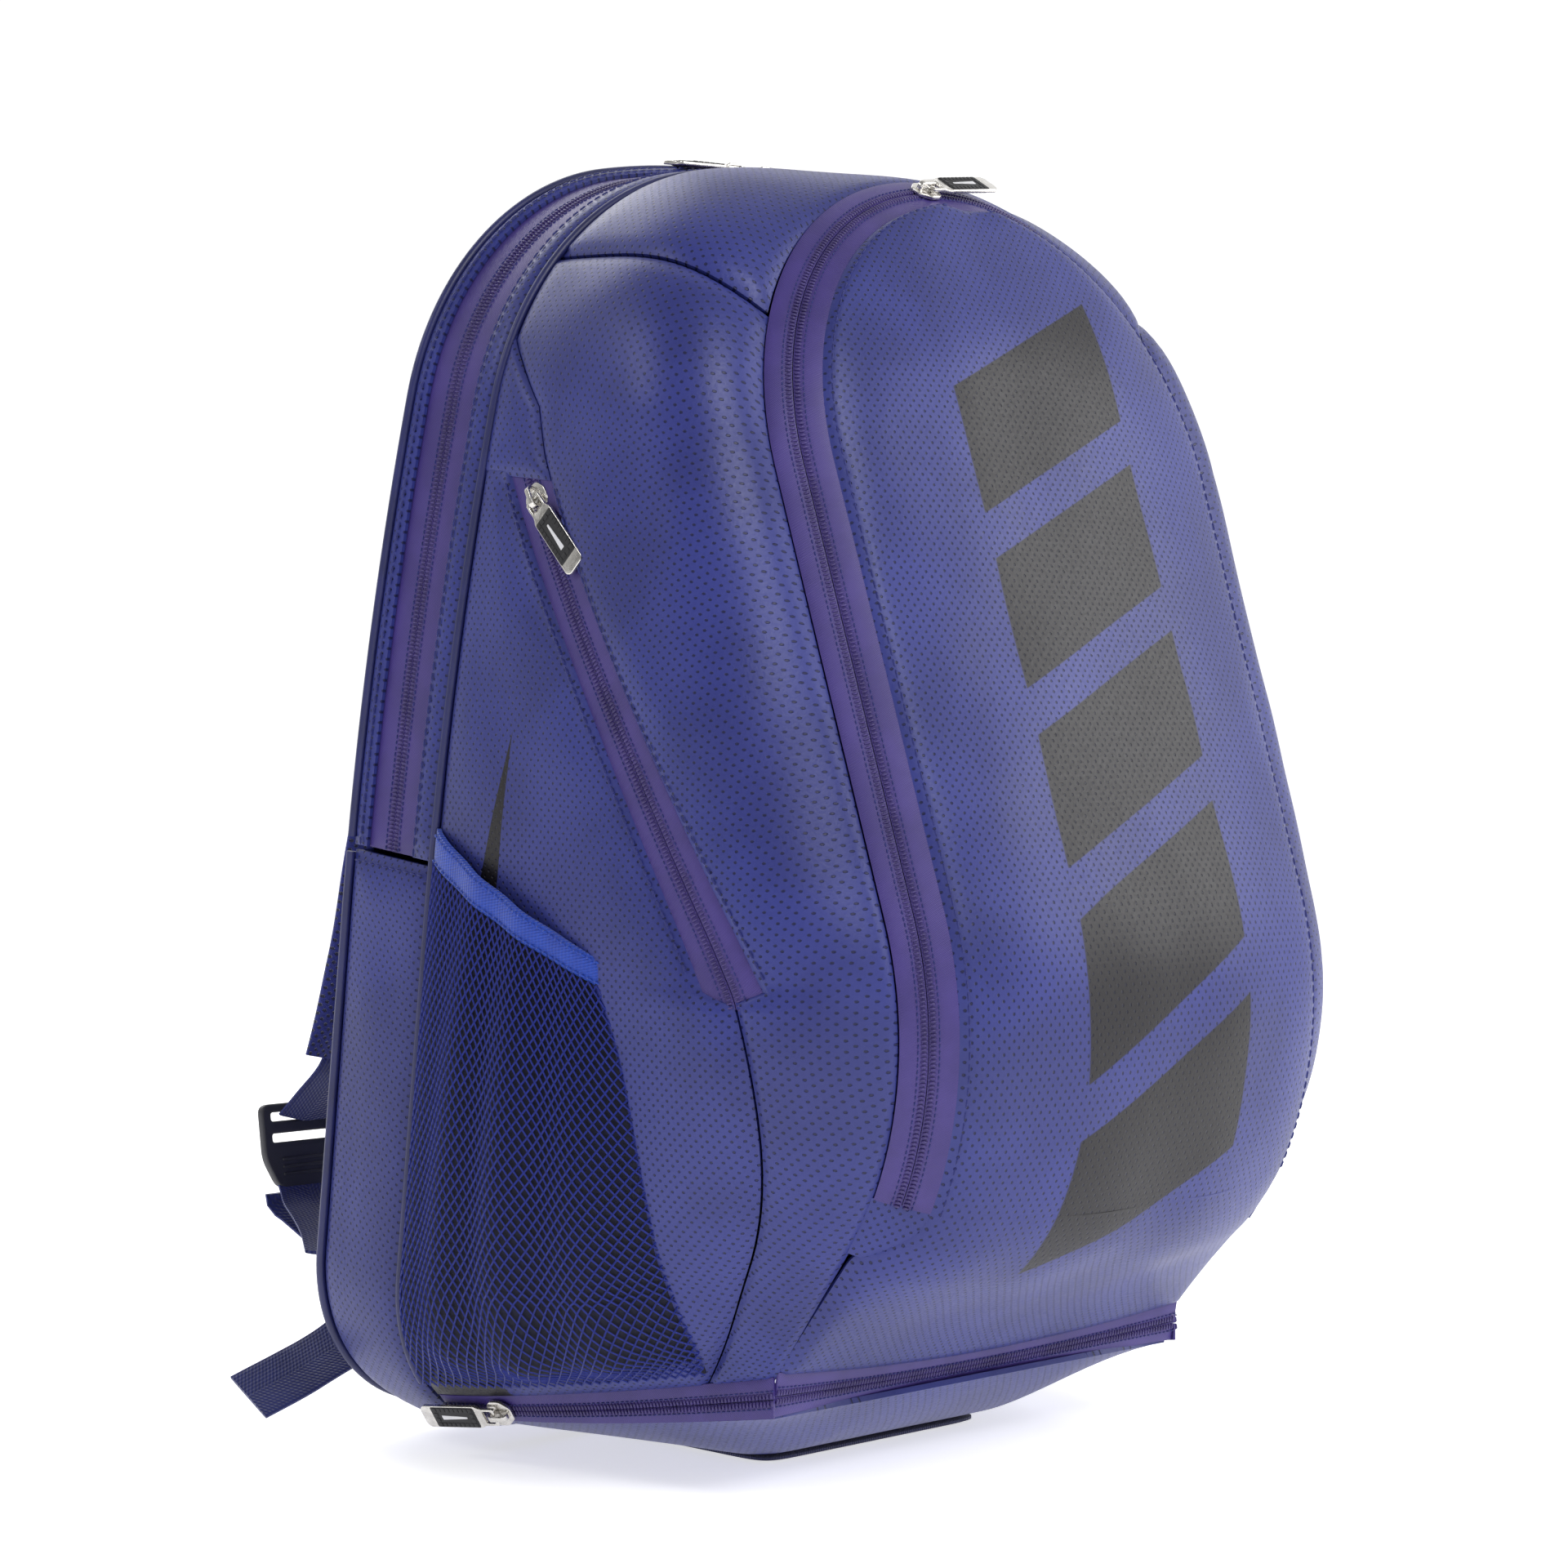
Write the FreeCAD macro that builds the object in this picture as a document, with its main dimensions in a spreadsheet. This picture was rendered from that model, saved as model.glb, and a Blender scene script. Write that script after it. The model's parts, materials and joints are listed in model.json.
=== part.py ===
"""Racket backpack: perforated soft shell, back flap, front pocket flap, base flap and zips.

Frame: +Z up, -Y towards the front pocket, X across. The origin is on the floor under the
middle of the base. Millimetres throughout.
"""
import FreeCAD
import Part
import Sketcher
import math
import os
from FreeCAD import Placement, Rotation, Vector

doc = FreeCAD.newDocument("RacketBackpack")
sheet = doc.addObject("Spreadsheet::Sheet", "Dimensions")

DIMENSIONS = [
    # the rear unit: an arch-shaped box that leans forward
    ("lean_angle", 7), ("rear_foot_y", 69), ("rear_depth", 46), ("arch_top", 496),
    ("half_width", 163), ("crown_radius", 340), ("shoulder_radius", 107),
    ("side_radius", 1500), ("side_turn", 7.5), ("corner_radius", 66), ("rear_clearance", 6),
    ("zip_end_height", 228), ("skin", 2.5), ("strip_skin", 2), ("tape_skin", 1), ("zip_gap", 1.6),
    ("front_strip_depth", 12), ("rear_strip_depth", 7), ("tape_tuck", 3),
    ("back_panel_skin", 4), ("board_skin", 1.5), ("pad_skin", 12),
    # the front pocket: an arch on a plane that leans back, then curls under
    ("front_lean", 17.7), ("front_top_y", -59), ("front_top_z", 483), ("front_straight", 285),
    ("front_curl_radius", 130), ("front_curl_turn", 56), ("front_tail", 56),
    ("front_arch_radius", 119), ("front_zip_width", 15), ("front_zip_rise", 12),
    ("flap_hinge_run", 383), ("front_dome", 11), ("pocket_depth", 36),
    # hardware
    ("slider_length", 11), ("slider_width", 11), ("slider_plate", 1.5), ("slider_slot", 1.3),
    ("post_width", 0.8), ("bail_width", 2.2), ("bail_height", 3.8), ("bail_hole", 2.6),
    ("bail_length", 9), ("bail_leg", 1.5), ("pivot_height", 4.38), ("pivot_shift", 1.3),
    ("pull_length", 36), ("pull_width", 10), ("pull_skin", 1.4), ("insert_skin", 2.0),
    # soft goods
    ("mesh_skin", 1.5), ("pocket_bulge", 17),
    ("strap_width", 56), ("strap_skin", 11), ("webbing_width", 28), ("webbing_skin", 1.6),
    ("band_height", 13.5), ("band_height_rear", 8), ("base_rise", 2),
    ("wear_length", 84), ("wear_width", 124), ("wear_middle", 10),
    ("sleeve_width", 240), ("sleeve_height", 182), ("sleeve_depth", 16),
]
for row, (alias, value) in enumerate(DIMENSIONS, start=1):
    sheet.set(f"A{row}", alias)
    sheet.set(f"B{row}", str(value))
    sheet.setAlias(f"B{row}", alias)
doc.recompute()
D = {alias: float(value) for alias, value in DIMENSIONS}

SUB_PARTS = []


def keep(body, label):
    """Name a finished sub-part; its label is also its file name."""
    body.Label = label
    SUB_PARTS.append(body)
    return body


# --- outlines: tracks of straight runs and clockwise arcs --------------------------------

def track(x, y, heading, runs):
    """Runs of (length, radius), radius 0 for a straight; returns them with their starts."""
    placed = []
    start = 0.0
    for length, radius in runs:
        placed.append((start, length, radius, x, y, heading))
        x, y, heading = along_run(placed[-1], length)
        start += length
    return placed


def along_run(run, distance):
    """Point and heading at a distance along one run."""
    start, length, radius, x, y, heading = run
    if radius == 0:
        return x + distance * math.cos(heading), y + distance * math.sin(heading), heading
    turn = distance / radius
    centre_x = x + radius * math.sin(heading)
    centre_y = y - radius * math.cos(heading)
    heading -= turn
    return centre_x - radius * math.sin(heading), centre_y + radius * math.cos(heading), heading


def track_point(placed, s, inset=0.0):
    """Point at arc length s, moved to the track's right-hand side by inset."""
    chosen = placed[0]
    for run in placed:
        if s >= run[0]:
            chosen = run
    x, y, heading = along_run(chosen, s - chosen[0])
    return x + inset * math.sin(heading), y - inset * math.cos(heading), heading


def track_length(placed):
    last = placed[-1]
    return last[0] + last[1]


def track_edges(placed, s0, s1, inset, mirror=False):
    """Line and arc geometry of a stretch of the track, from s0 to s1."""
    sign = -1.0 if mirror else 1.0

    def at(s):
        x, y, _ = track_point(placed, s, inset)
        return Vector(sign * x, y, 0)

    edges = []
    for start, length, radius, _, _, _ in placed:
        a = max(start, s0)
        b = min(start + length, s1)
        if b - a < 1e-6:
            continue
        # stay inside this run at its joints
        first, last = at(a), at(b - 1e-9)
        if radius == 0:
            edges.append(Part.LineSegment(first, last))
        else:
            edges.append(Part.Arc(first, at((a + b) / 2), last))
    return edges


def rear_track():
    """Right half of the rear arch: crown, shoulder, side, bottom corner, bottom."""
    flank = math.radians(90 - D["side_turn"])
    reach = D["half_width"] - D["shoulder_radius"] * math.sin(flank)
    reach -= D["side_radius"] * (1 - math.sin(flank))
    crown = math.asin(reach / (D["crown_radius"] - D["shoulder_radius"]))
    drop = D["crown_radius"] * (1 - math.cos(crown))
    drop += D["shoulder_radius"] * (math.cos(crown) - math.cos(flank))
    drop += D["side_radius"] * math.cos(flank)
    straight = D["arch_top"] - drop - D["corner_radius"] - D["rear_clearance"]
    return track(0, D["arch_top"], 0, [
        (D["crown_radius"] * crown, D["crown_radius"]),
        (D["shoulder_radius"] * (flank - crown), D["shoulder_radius"]),
        (D["side_radius"] * math.radians(D["side_turn"]), D["side_radius"]),
        (straight, 0),
        (D["corner_radius"] * math.pi / 2, D["corner_radius"]),
        (D["half_width"] - D["corner_radius"], 0)])


def front_track():
    """Right half of the front zip's outer edge, in the front surface: x and run down it."""
    turn = math.radians(91)
    run = front_length() - D["front_arch_radius"]
    return track(0, 0, 0, [(D["front_arch_radius"] * turn, D["front_arch_radius"]), (run, 0)])


def profile_track():
    """Side view of the front surface, from the top edge down: y and z."""
    heading = math.radians(D["front_lean"] - 90)
    curl = D["front_curl_radius"] * math.radians(D["front_curl_turn"])
    # mirrored in y, so that the curl is a clockwise turn
    return track(-D["front_top_y"], D["front_top_z"], heading, [
        (D["front_straight"], 0), (curl, D["front_curl_radius"]), (D["front_tail"], 0)])


def front_length():
    curl = D["front_curl_radius"] * math.radians(D["front_curl_turn"])
    return D["front_straight"] + curl + D["front_tail"]


REAR = rear_track()
PROFILE = profile_track()
FRONT = front_track()
REAR_LENGTH = track_length(REAR)


def rear_length_at(height):
    """Arc length where the rear arch's right half comes down to a height."""
    low, high = 0.0, REAR_LENGTH
    for _ in range(50):
        middle = (low + high) / 2
        if track_point(REAR, middle)[1] > height:
            low = middle
        else:
            high = middle
    return low


ZIP_CUT = rear_length_at(D["zip_end_height"])
# the side wall ends part of the way round the bottom corner
WALL_END = REAR_LENGTH - (D["half_width"] - D["corner_radius"]) - D["corner_radius"] * 0.756


# --- surfaces -----------------------------------------------------------------------------

LEAN = math.radians(D["lean_angle"])


def rear_point(x, height, depth):
    """A point in the rear unit's own leaning frame."""
    y = D["rear_foot_y"] + depth * math.cos(LEAN) - height * math.sin(LEAN)
    return Vector(x, y, height * math.cos(LEAN) + depth * math.sin(LEAN))


def front_point(x, run, rise=0.0):
    """A point on the front surface, lifted off it by rise."""
    y, z, heading = track_point(PROFILE, max(0.0, run), 0.0)
    if run < 0:
        y += run * math.cos(heading)
        z += run * math.sin(heading)
    return Vector(x, -y + rise * math.sin(heading), z + rise * math.cos(heading))


def smooth(value):
    value = min(1.0, max(0.0, value))
    return value * value * (3 - 2 * value)


def crown_power(u):
    """How late the wall turns in towards the front: late on the sides, sooner at the ends."""
    top = 1 - smooth(abs(u) / 0.4)
    foot = smooth((abs(u) - 0.72) / 0.28)
    return 7.6 - 6.8 * top - 6.3 * foot


def wall_point(u, t):
    """The wall between the rear arch (t 0) and the front zip's outer edge (t 1).

    u runs from the left end of the base (-1) over the top (0) to the right end (1).
    """
    side = -1.0 if u < 0 else 1.0
    share = abs(u)
    x, height, heading = track_point(REAR, share * WALL_END)
    start = rear_point(x, height, 0)
    fx, run, _ = track_point(FRONT, share * track_length(FRONT))
    end = front_point(fx, -run)
    normal = Vector(-math.sin(heading), 0, math.cos(heading))
    tangent = Vector(math.cos(heading), 0, math.sin(heading))
    gap = end - start
    power = crown_power(u)
    point = start + Vector(0, gap.y * t, 0)
    point += normal * (gap.dot(normal) * t ** power)
    point += tangent * (gap.dot(tangent) * t ** 1.2)
    return Vector(side * point.x, point.y, point.z)


def wall_normal(u, t):
    """Outward normal of the wall."""
    step = 0.004
    low_t = max(0.0, t - step)
    high_t = min(1.0, t + step)
    low_u = max(-1.0, u - step)
    high_u = min(1.0, u + step)
    across = wall_point(u, high_t) - wall_point(u, low_t)
    along = wall_point(high_u, t) - wall_point(low_u, t)
    normal = across.cross(along)
    return normal.normalize()


def off_wall(u, t, rise):
    return wall_point(u, t) + wall_normal(u, t) * rise


# --- solids from sections -----------------------------------------------------------------

def skin_solid(place, rows, columns, outer_rise, inner_rise):
    """A curved sheet: place(row, column, rise) for row and column from 0 to 1."""
    faces = []
    borders = []
    for rise in (outer_rise, inner_rise):
        grid = [[place(i / rows, j / columns, rise) for j in range(columns + 1)]
                for i in range(rows + 1)]
        surface = Part.BSplineSurface()
        surface.interpolate(grid)
        u0, u1, v0, v1 = surface.bounds()
        faces.append(surface.toShape())
        borders.append((surface.uIso(u0), surface.uIso(u1), surface.vIso(v0), surface.vIso(v1)))
    for low, high in zip(*borders):
        faces.append(Part.makeRuledSurface(low.toShape(), high.toShape()))
    shell = Part.makeShell(faces)
    shell.sewShape()
    solid = Part.makeSolid(shell)
    if solid.Volume < 0:
        solid.reverse()
    return solid


def soft_piece(label, shapes):
    """A sub-part whose curved shape neither a sketch nor a primitive can give."""
    piece = doc.addObject("Part::Feature", label)
    piece.Shape = shapes[0] if len(shapes) == 1 else Part.makeCompound(shapes)
    piece.Placement = Placement()
    return keep(piece, label)


def strip_solid(route, sides, width, depth):
    """A flat strap along a route, with its width along the given directions."""
    wires = []
    for i, point in enumerate(route):
        before = route[max(0, i - 1)]
        after = route[min(len(route) - 1, i + 1)]
        forward = (after - before).normalize()
        side = sides[i] - forward * sides[i].dot(forward)
        side.normalize()
        up = forward.cross(side)
        corners = [point + side * (a * width / 2) + up * (b * depth / 2)
                   for a, b in ((-1, 1), (1, 1), (1, -1), (-1, -1))]
        wires.append(Part.makePolygon(corners + corners[:1]))
    return Part.makeLoft(wires, True, True)


# --- PartDesign helpers -------------------------------------------------------------------

def origin_plane(body, role):
    for feature in body.Origin.OriginFeatures:
        if feature.Role == role:
            return feature
    raise ValueError(role)


def add_sketch(body, name, role, loops, height=None):
    """A sketch of closed loops on one of the body's own origin planes."""
    sketch = body.newObject("Sketcher::SketchObject", name)
    sketch.AttachmentSupport = [(origin_plane(body, role), "")]
    sketch.MapMode = "FlatFace"
    if height is not None:
        sketch.setExpression("AttachmentOffset.Base.z", height)
    for loop in loops:
        first = sketch.GeometryCount
        for edge in loop:
            sketch.addGeometry(edge, False)
        count = len(loop)
        for i in range(count):
            tie_ends(sketch, first + i, first + (i + 1) % count)
    return sketch


def tie_ends(sketch, a, b):
    """Join two edges of a sketch where their ends meet."""
    for a_end in (2, 1):
        for b_end in (1, 2):
            if sketch.getPoint(a, a_end).distanceToPoint(sketch.getPoint(b, b_end)) < 1e-4:
                sketch.addConstraint(Sketcher.Constraint("Coincident", a, a_end, b, b_end))
                return


def add_pad(body, sketch, name, length, midplane=False):
    pad = body.newObject("PartDesign::Pad", name)
    pad.Profile = sketch
    pad.setExpression("Length", length)
    if midplane:
        pad.SideType = "Symmetric"
    return pad


def polygon(points):
    """Closed loop of straight edges."""
    corners = [Vector(x, y, 0) for x, y in points]
    return [Part.LineSegment(a, b) for a, b in zip(corners, corners[1:] + corners[:1])]


def rectangle(x0, y0, x1, y1):
    return polygon([(x0, y0), (x1, y0), (x1, y1), (x0, y1)])


def new_body(name):
    body = doc.addObject("PartDesign::Body", name)
    return body


def on_rear_unit(body):
    """Stand a body in the rear unit's frame: sketch y goes up the lean, z comes forward."""
    body.Placement = Placement(Vector(0, D["rear_foot_y"], 0), Rotation(Vector(1, 0, 0), 97))
    body.setExpression("Placement.Base.y", "Dimensions.rear_foot_y")
    body.setExpression("Placement.Rotation.Angle", "90 + Dimensions.lean_angle")


# --- the rear unit: bands, zip tapes and panels along one arch ------------------------------

def arch_loop(s0, s1, outer_inset, inner_inset):
    """Closed loop of a band over the top, between arc lengths on both sides (s0 is 0)."""
    edges = list(reversed(track_edges(REAR, s0, s1, outer_inset, mirror=True)))
    edges += track_edges(REAR, s0, s1, outer_inset)
    far = [track_point(REAR, s1, inset) for inset in (outer_inset, inner_inset)]
    edges.append(Part.LineSegment(Vector(far[0][0], far[0][1], 0), Vector(far[1][0], far[1][1], 0)))
    edges += list(reversed(track_edges(REAR, s0, s1, inner_inset)))
    edges += track_edges(REAR, s0, s1, inner_inset, mirror=True)
    edges.append(Part.LineSegment(Vector(-far[1][0], far[1][1], 0), Vector(-far[0][0], far[0][1], 0)))
    return edges


def trough_loop(s0, outer_inset, inner_inset):
    """Closed loop of a band from arc length s0 on one side, under the bottom, to the other."""
    near = [track_point(REAR, s0, inset) for inset in (outer_inset, inner_inset)]
    edges = track_edges(REAR, s0, REAR_LENGTH, outer_inset)
    edges += list(reversed(track_edges(REAR, s0, REAR_LENGTH, outer_inset, mirror=True)))
    edges.append(Part.LineSegment(Vector(-near[0][0], near[0][1], 0), Vector(-near[1][0], near[1][1], 0)))
    edges += track_edges(REAR, s0, REAR_LENGTH, inner_inset, mirror=True)
    edges += list(reversed(track_edges(REAR, s0, REAR_LENGTH, inner_inset)))
    edges.append(Part.LineSegment(Vector(near[1][0], near[1][1], 0), Vector(near[0][0], near[0][1], 0)))
    return edges


def rear_slab(label, loops, deep, thick):
    """Outline padded forward from a depth: both are expressions of the sheet."""
    body = new_body(label)
    sketch = add_sketch(body, label + "_outline", "XY_Plane", loops, f"-({deep})")
    add_pad(body, sketch, label + "_pad", thick)
    on_rear_unit(body)
    return keep(body, label)


def arch_panel_loop(low, high_inset):
    """Closed loop of the arch above a height, inset all round."""
    s1 = rear_length_at(low)
    edges = list(reversed(track_edges(REAR, 0, s1, high_inset, mirror=True)))
    edges += track_edges(REAR, 0, s1, high_inset)
    x, y, _ = track_point(REAR, s1, high_inset)
    edges.append(Part.LineSegment(Vector(x, y, 0), Vector(-x, y, 0)))
    return edges


def low_panel_loop(high, inset):
    """Closed loop of the rear outline below a height, inset all round."""
    s0 = rear_length_at(high)
    edges = track_edges(REAR, s0, REAR_LENGTH, inset)
    edges += list(reversed(track_edges(REAR, s0, REAR_LENGTH, inset, mirror=True)))
    x, y, _ = track_point(REAR, s0, inset)
    edges.append(Part.LineSegment(Vector(-x, y, 0), Vector(x, y, 0)))
    return edges


def make_rear_unit():
    strip = D["strip_skin"]
    tape = strip + D["tape_skin"]
    end = ZIP_CUT
    sheet_depth = "Dimensions.rear_depth"
    rear_slab("gusset_strip_front", [arch_loop(0, end - 0.5, 0, strip)],
              "Dimensions.front_strip_depth", "Dimensions.front_strip_depth")
    rear_slab("gusset_strip_rear", [arch_loop(0, end - 1, 0, strip)],
              sheet_depth, "Dimensions.rear_strip_depth")
    half = ("(Dimensions.rear_depth - Dimensions.front_strip_depth - Dimensions.rear_strip_depth"
            " - Dimensions.zip_gap) / 2 + Dimensions.tape_tuck")
    rear_slab("main_zip_front_tape", [arch_loop(0, end - 0.5, strip, tape)],
              f"Dimensions.front_strip_depth - Dimensions.tape_tuck + {half}", half)
    rear_slab("main_zip_rear_tape", [arch_loop(0, end - 1, strip, tape)],
              "Dimensions.rear_depth - Dimensions.rear_strip_depth + Dimensions.tape_tuck", half)
    rear_slab("lower_gusset", [trough_loop(end + 0.5, 0, D["skin"])], sheet_depth, sheet_depth)
    back = "Dimensions.rear_depth + Dimensions.back_panel_skin"
    cut = D["zip_end_height"]
    rear_slab("back_panel_lower", [low_panel_loop(cut - 0.5, 0)], back, "Dimensions.back_panel_skin")
    rear_slab("back_panel_upper", [arch_panel_loop(cut + 0.5, 0)], back, "Dimensions.back_panel_skin")
    rear_slab("back_board", [arch_panel_loop(cut + 12, 12)], sheet_depth, "Dimensions.board_skin")
    pads = back + " + Dimensions.pad_skin"
    rear_slab("back_pad_lower", [low_panel_loop(198, 22)], pads, "Dimensions.pad_skin")
    x = 16
    columns = [polygon([(side * x, 246), (side * 132, 246), (side * 128, 350), (side * 106, 412),
                        (side * x, 418)]) for side in (-1, 1)]
    for side, column in zip(("left", "right"), columns):
        rear_slab(f"back_pad_upper_{side}", [column], pads, "Dimensions.pad_skin")


def make_sleeve():
    """Padded sleeve inside the back panel, open at the top."""
    def block(name, grow):
        box = doc.addObject("Part::Box", name)
        box.setExpression("Length", f"Dimensions.sleeve_width - {2 * grow}")
        box.setExpression("Width", f"Dimensions.sleeve_height - {grow}")
        box.setExpression("Height", f"Dimensions.sleeve_depth - {2 * grow}")
        box.setExpression("Placement.Base.x", f"-Dimensions.sleeve_width / 2 + {grow}")
        box.setExpression("Placement.Base.y", f"{grow}")
        box.setExpression("Placement.Base.z", f"{grow}")
        return box
    cut = doc.addObject("Part::Cut", "sleeve")
    cut.Base = block("sleeve_outside", 0)
    cut.Tool = block("sleeve_inside", 1.5)
    top = rear_point(0, 28, D["rear_depth"] - 1)
    cut.Placement = Placement(top, Rotation(Vector(1, 0, 0), 90 + D["lean_angle"]))
    keep(cut, "laptop_sleeve")


def make_piping():
    """Round bead along the seam between the rear unit and the wall."""
    count = 24
    points = [wall_point(-0.98 + 1.96 * i / count, 0.0) + Vector(0, -1.2, 0) for i in range(count + 1)]
    rows = []
    for i, point in enumerate(points):
        before = points[max(0, i - 1)]
        after = points[min(count, i + 1)]
        rows.append(Part.Wire(Part.Circle(point, (after - before).normalize(), 1.8).toShape()))
    soft_piece("piping", [Part.makeLoft(rows, True, False)])


# --- the wall: leather panels between the two arches ----------------------------------------

TOP_SEAM = 0.235
ZIP_TOP_U = 0.372
ZIP_TOP_T = 0.18
ZIP_END_U = 0.706
ZIP_END_T = 0.79
ZIP_BOW = 0.08
ZIP_HALF = 9.0
HOOD_TOP_U = 0.30
ZIP_SLOPE = 0.865


def side_zip_t(share):
    """Where the side zip crosses the wall at a share of the wall's length."""
    slope = (ZIP_END_T - ZIP_TOP_T) / (ZIP_END_U - ZIP_TOP_U)
    return ZIP_TOP_T + slope * (share - ZIP_TOP_U)


def seam_t(share):
    """The seam between side and mid panels: the zip line, then down to the base."""
    if share < ZIP_END_U:
        along = max(0.0, (share - ZIP_TOP_U) / (ZIP_END_U - ZIP_TOP_U))
        return max(0.0, side_zip_t(share)) + ZIP_BOW * math.sin(math.pi * along)
    fall = (share - ZIP_END_U) / (1 - ZIP_END_U)
    return ZIP_END_T + 0.05 * math.sin(math.pi * fall) + 0.03 * fall


def across_zip(share, distance):
    """Change of t that moves a distance square to the side zip."""
    depth = (wall_point(share, 1) - wall_point(share, 0)).y
    return distance / (abs(depth) * ZIP_SLOPE)


def wall_patch(side, u0, u1, t_low, t_high, rows=10, columns=6):
    """Leather over a range of u, between two seams given as functions of share."""
    def place(row, column, rise):
        share = u0 + (u1 - u0) * row
        t = t_low(share) + (t_high(share) - t_low(share)) * column
        return off_wall(side * share, t, rise)
    return skin_solid(place, rows, columns, 0.0, -D["skin"])


def make_wall():
    def top_place(row, column, rise):
        return off_wall(-TOP_SEAM + 2 * TOP_SEAM * row, 0.02 + 0.98 * column, rise)
    soft_piece("top_panel", [skin_solid(top_place, 12, 5, 0.0, -D["skin"])])
    for name, side in (("left", -1), ("right", 1)):
        def zip_low(share):
            if share > ZIP_END_U:
                return seam_t(share) - 0.002
            return seam_t(share) - across_zip(share, ZIP_HALF) if share > ZIP_TOP_U else 0.02

        def zip_high(share):
            if share > ZIP_END_U:
                return seam_t(share) + 0.002
            return seam_t(share) + across_zip(share, ZIP_HALF)
        def mid_rear(share):
            if share > ZIP_TOP_U - 0.03:
                return zip_high(share)
            rise = max(0.0, (share - HOOD_TOP_U) / (ZIP_TOP_U - 0.03 - HOOD_TOP_U))
            return 0.02 + rise * (zip_high(ZIP_TOP_U - 0.03) - 0.02)
        hood = wall_patch(side, HOOD_TOP_U + 0.004, ZIP_TOP_U + 0.0095,
                          lambda share: 0.015, lambda share: mid_rear(share) - 0.004, 4, 3)
        rear = wall_patch(side, ZIP_TOP_U + 0.01, 0.995, lambda share: 0.015, zip_low, 14, 6)
        soft_piece(f"side_panel_{name}", [hood, rear])
        soft_piece(f"mid_panel_{name}", [wall_patch(
            side, TOP_SEAM + 0.003, 0.995, mid_rear, lambda share: 0.995, 16, 6)])
        tapes = []
        for inner, outer in ((-ZIP_HALF - 2, -D["zip_gap"] / 2), (D["zip_gap"] / 2, ZIP_HALF + 2)):
            def tape_place(row, column, rise, a=inner, b=outer):
                share = ZIP_TOP_U + 0.012 + (ZIP_END_U - ZIP_TOP_U - 0.014) * row
                t = seam_t(share) + across_zip(share, a + (b - a) * column)
                return off_wall(side * share, t, rise)
            tapes.append(skin_solid(tape_place, 10, 1, -D["skin"], -D["skin"] - D["tape_skin"]))
        soft_piece(f"side_zip_{name}", tapes)


# --- mesh bottle pockets ---------------------------------------------------------------------

POCKET_REAR_U = 0.636
POCKET_FRONT_U = 0.707


def pocket_point(side, down, forward, rise):
    """On the mesh pocket: down 0 at its mouth to 1 at its foot, forward 0 at the rear seam."""
    top = POCKET_REAR_U + (POCKET_FRONT_U - POCKET_REAR_U) * forward
    share = top + (0.985 - top) * down
    reach = 0.50 + 0.29 * max(0.0, down)
    swell = math.sin(math.pi * min(1.0, max(0.0, forward))) ** 0.7
    swell *= 0.45 + 0.55 * math.sin(math.pi * min(1.0, max(0.0, down)) ** 0.9)
    edge = 1 - smooth((down - 0.86) / 0.14)
    return off_wall(side * share, 0.02 + reach * forward,
                    1.0 + rise + D["pocket_bulge"] * swell * edge)


def make_pockets():
    bands = []
    for name, side in (("left", -1), ("right", 1)):
        def mesh_place(row, column, rise):
            return pocket_point(side, row, column, rise)
        mesh = skin_solid(mesh_place, 10, 8, D["mesh_skin"], 0.0)
        soft_piece(f"mesh_pocket_{name}", [mesh])

        def band_place(row, column, rise):
            return pocket_point(side, -0.001 - 0.06 * (1 - row), column, rise)
        bands.append(skin_solid(band_place, 2, 8, D["mesh_skin"] + 0.3, -0.2))
    soft_piece("pocket_elastics", bands)


# --- the front pocket ---------------------------------------------------------------------------

def front_half_width(run, inset):
    """Half width of the front outline at a run down the front, inset from the zip's edge."""
    radius = D["front_arch_radius"]
    if run <= radius:
        return math.sqrt(max(0.0, (radius - inset) ** 2 - (radius - run) ** 2))
    return radius - inset - (run - radius) * math.tan(math.radians(1))


def zip_band_point(s, share, rise):
    """On the sloping front zip band: share 0 at the outer edge, 1 at the flap's edge."""
    side = -1.0 if s < 0 else 1.0
    x, y, heading = track_point(FRONT, abs(s), D["front_zip_width"] * share)
    slope = math.hypot(D["front_zip_width"], D["front_zip_rise"])
    out = D["front_zip_rise"] / slope
    lift = D["front_zip_width"] / slope
    x -= rise * out * math.sin(heading)
    y += rise * out * math.cos(heading)
    return front_point(side * x, -y, D["front_zip_rise"] * share + rise * lift)


def front_zip_length():
    """Arc length of the front track down to the flap's hinge line."""
    turn = math.radians(91)
    return D["front_arch_radius"] * turn + D["flap_hinge_run"] - D["front_arch_radius"]


def dome_point(across, run, rise):
    """On the front panel: across -1 to 1 between the zip's inner edges."""
    half = front_half_width(run, D["front_zip_width"])
    crown = D["front_dome"] * (1 - abs(across) ** 3) * smooth(run / 90)
    foot = 1 - smooth((run - D["flap_hinge_run"]) / (front_length() - D["flap_hinge_run"]))
    return front_point(across * half, run, (D["front_zip_rise"] + crown) * foot + rise)


def lower_dome_point(across, run, rise):
    """On the lower front panel: as the flap, but widening out to the side seams."""
    half = front_half_width(run, D["front_zip_width"])
    wide = front_half_width(run, 1.0)
    fall = smooth((run - D["flap_hinge_run"]) / 30)
    x = across * (half + (wide - half) * fall)
    crown = D["front_dome"] * (1 - abs(across) ** 3)
    edge = D["front_zip_rise"] * (1 - fall * abs(across) ** 8)
    foot = 1 - smooth((run - D["flap_hinge_run"]) / (front_length() - D["flap_hinge_run"]))
    return front_point(x, run, (edge + crown) * foot + rise)


def lower_end(across):
    """Where the lower front panel meets the bottom zip: lower in the middle."""
    return front_length() + 8 * (1 - across ** 2)


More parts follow.
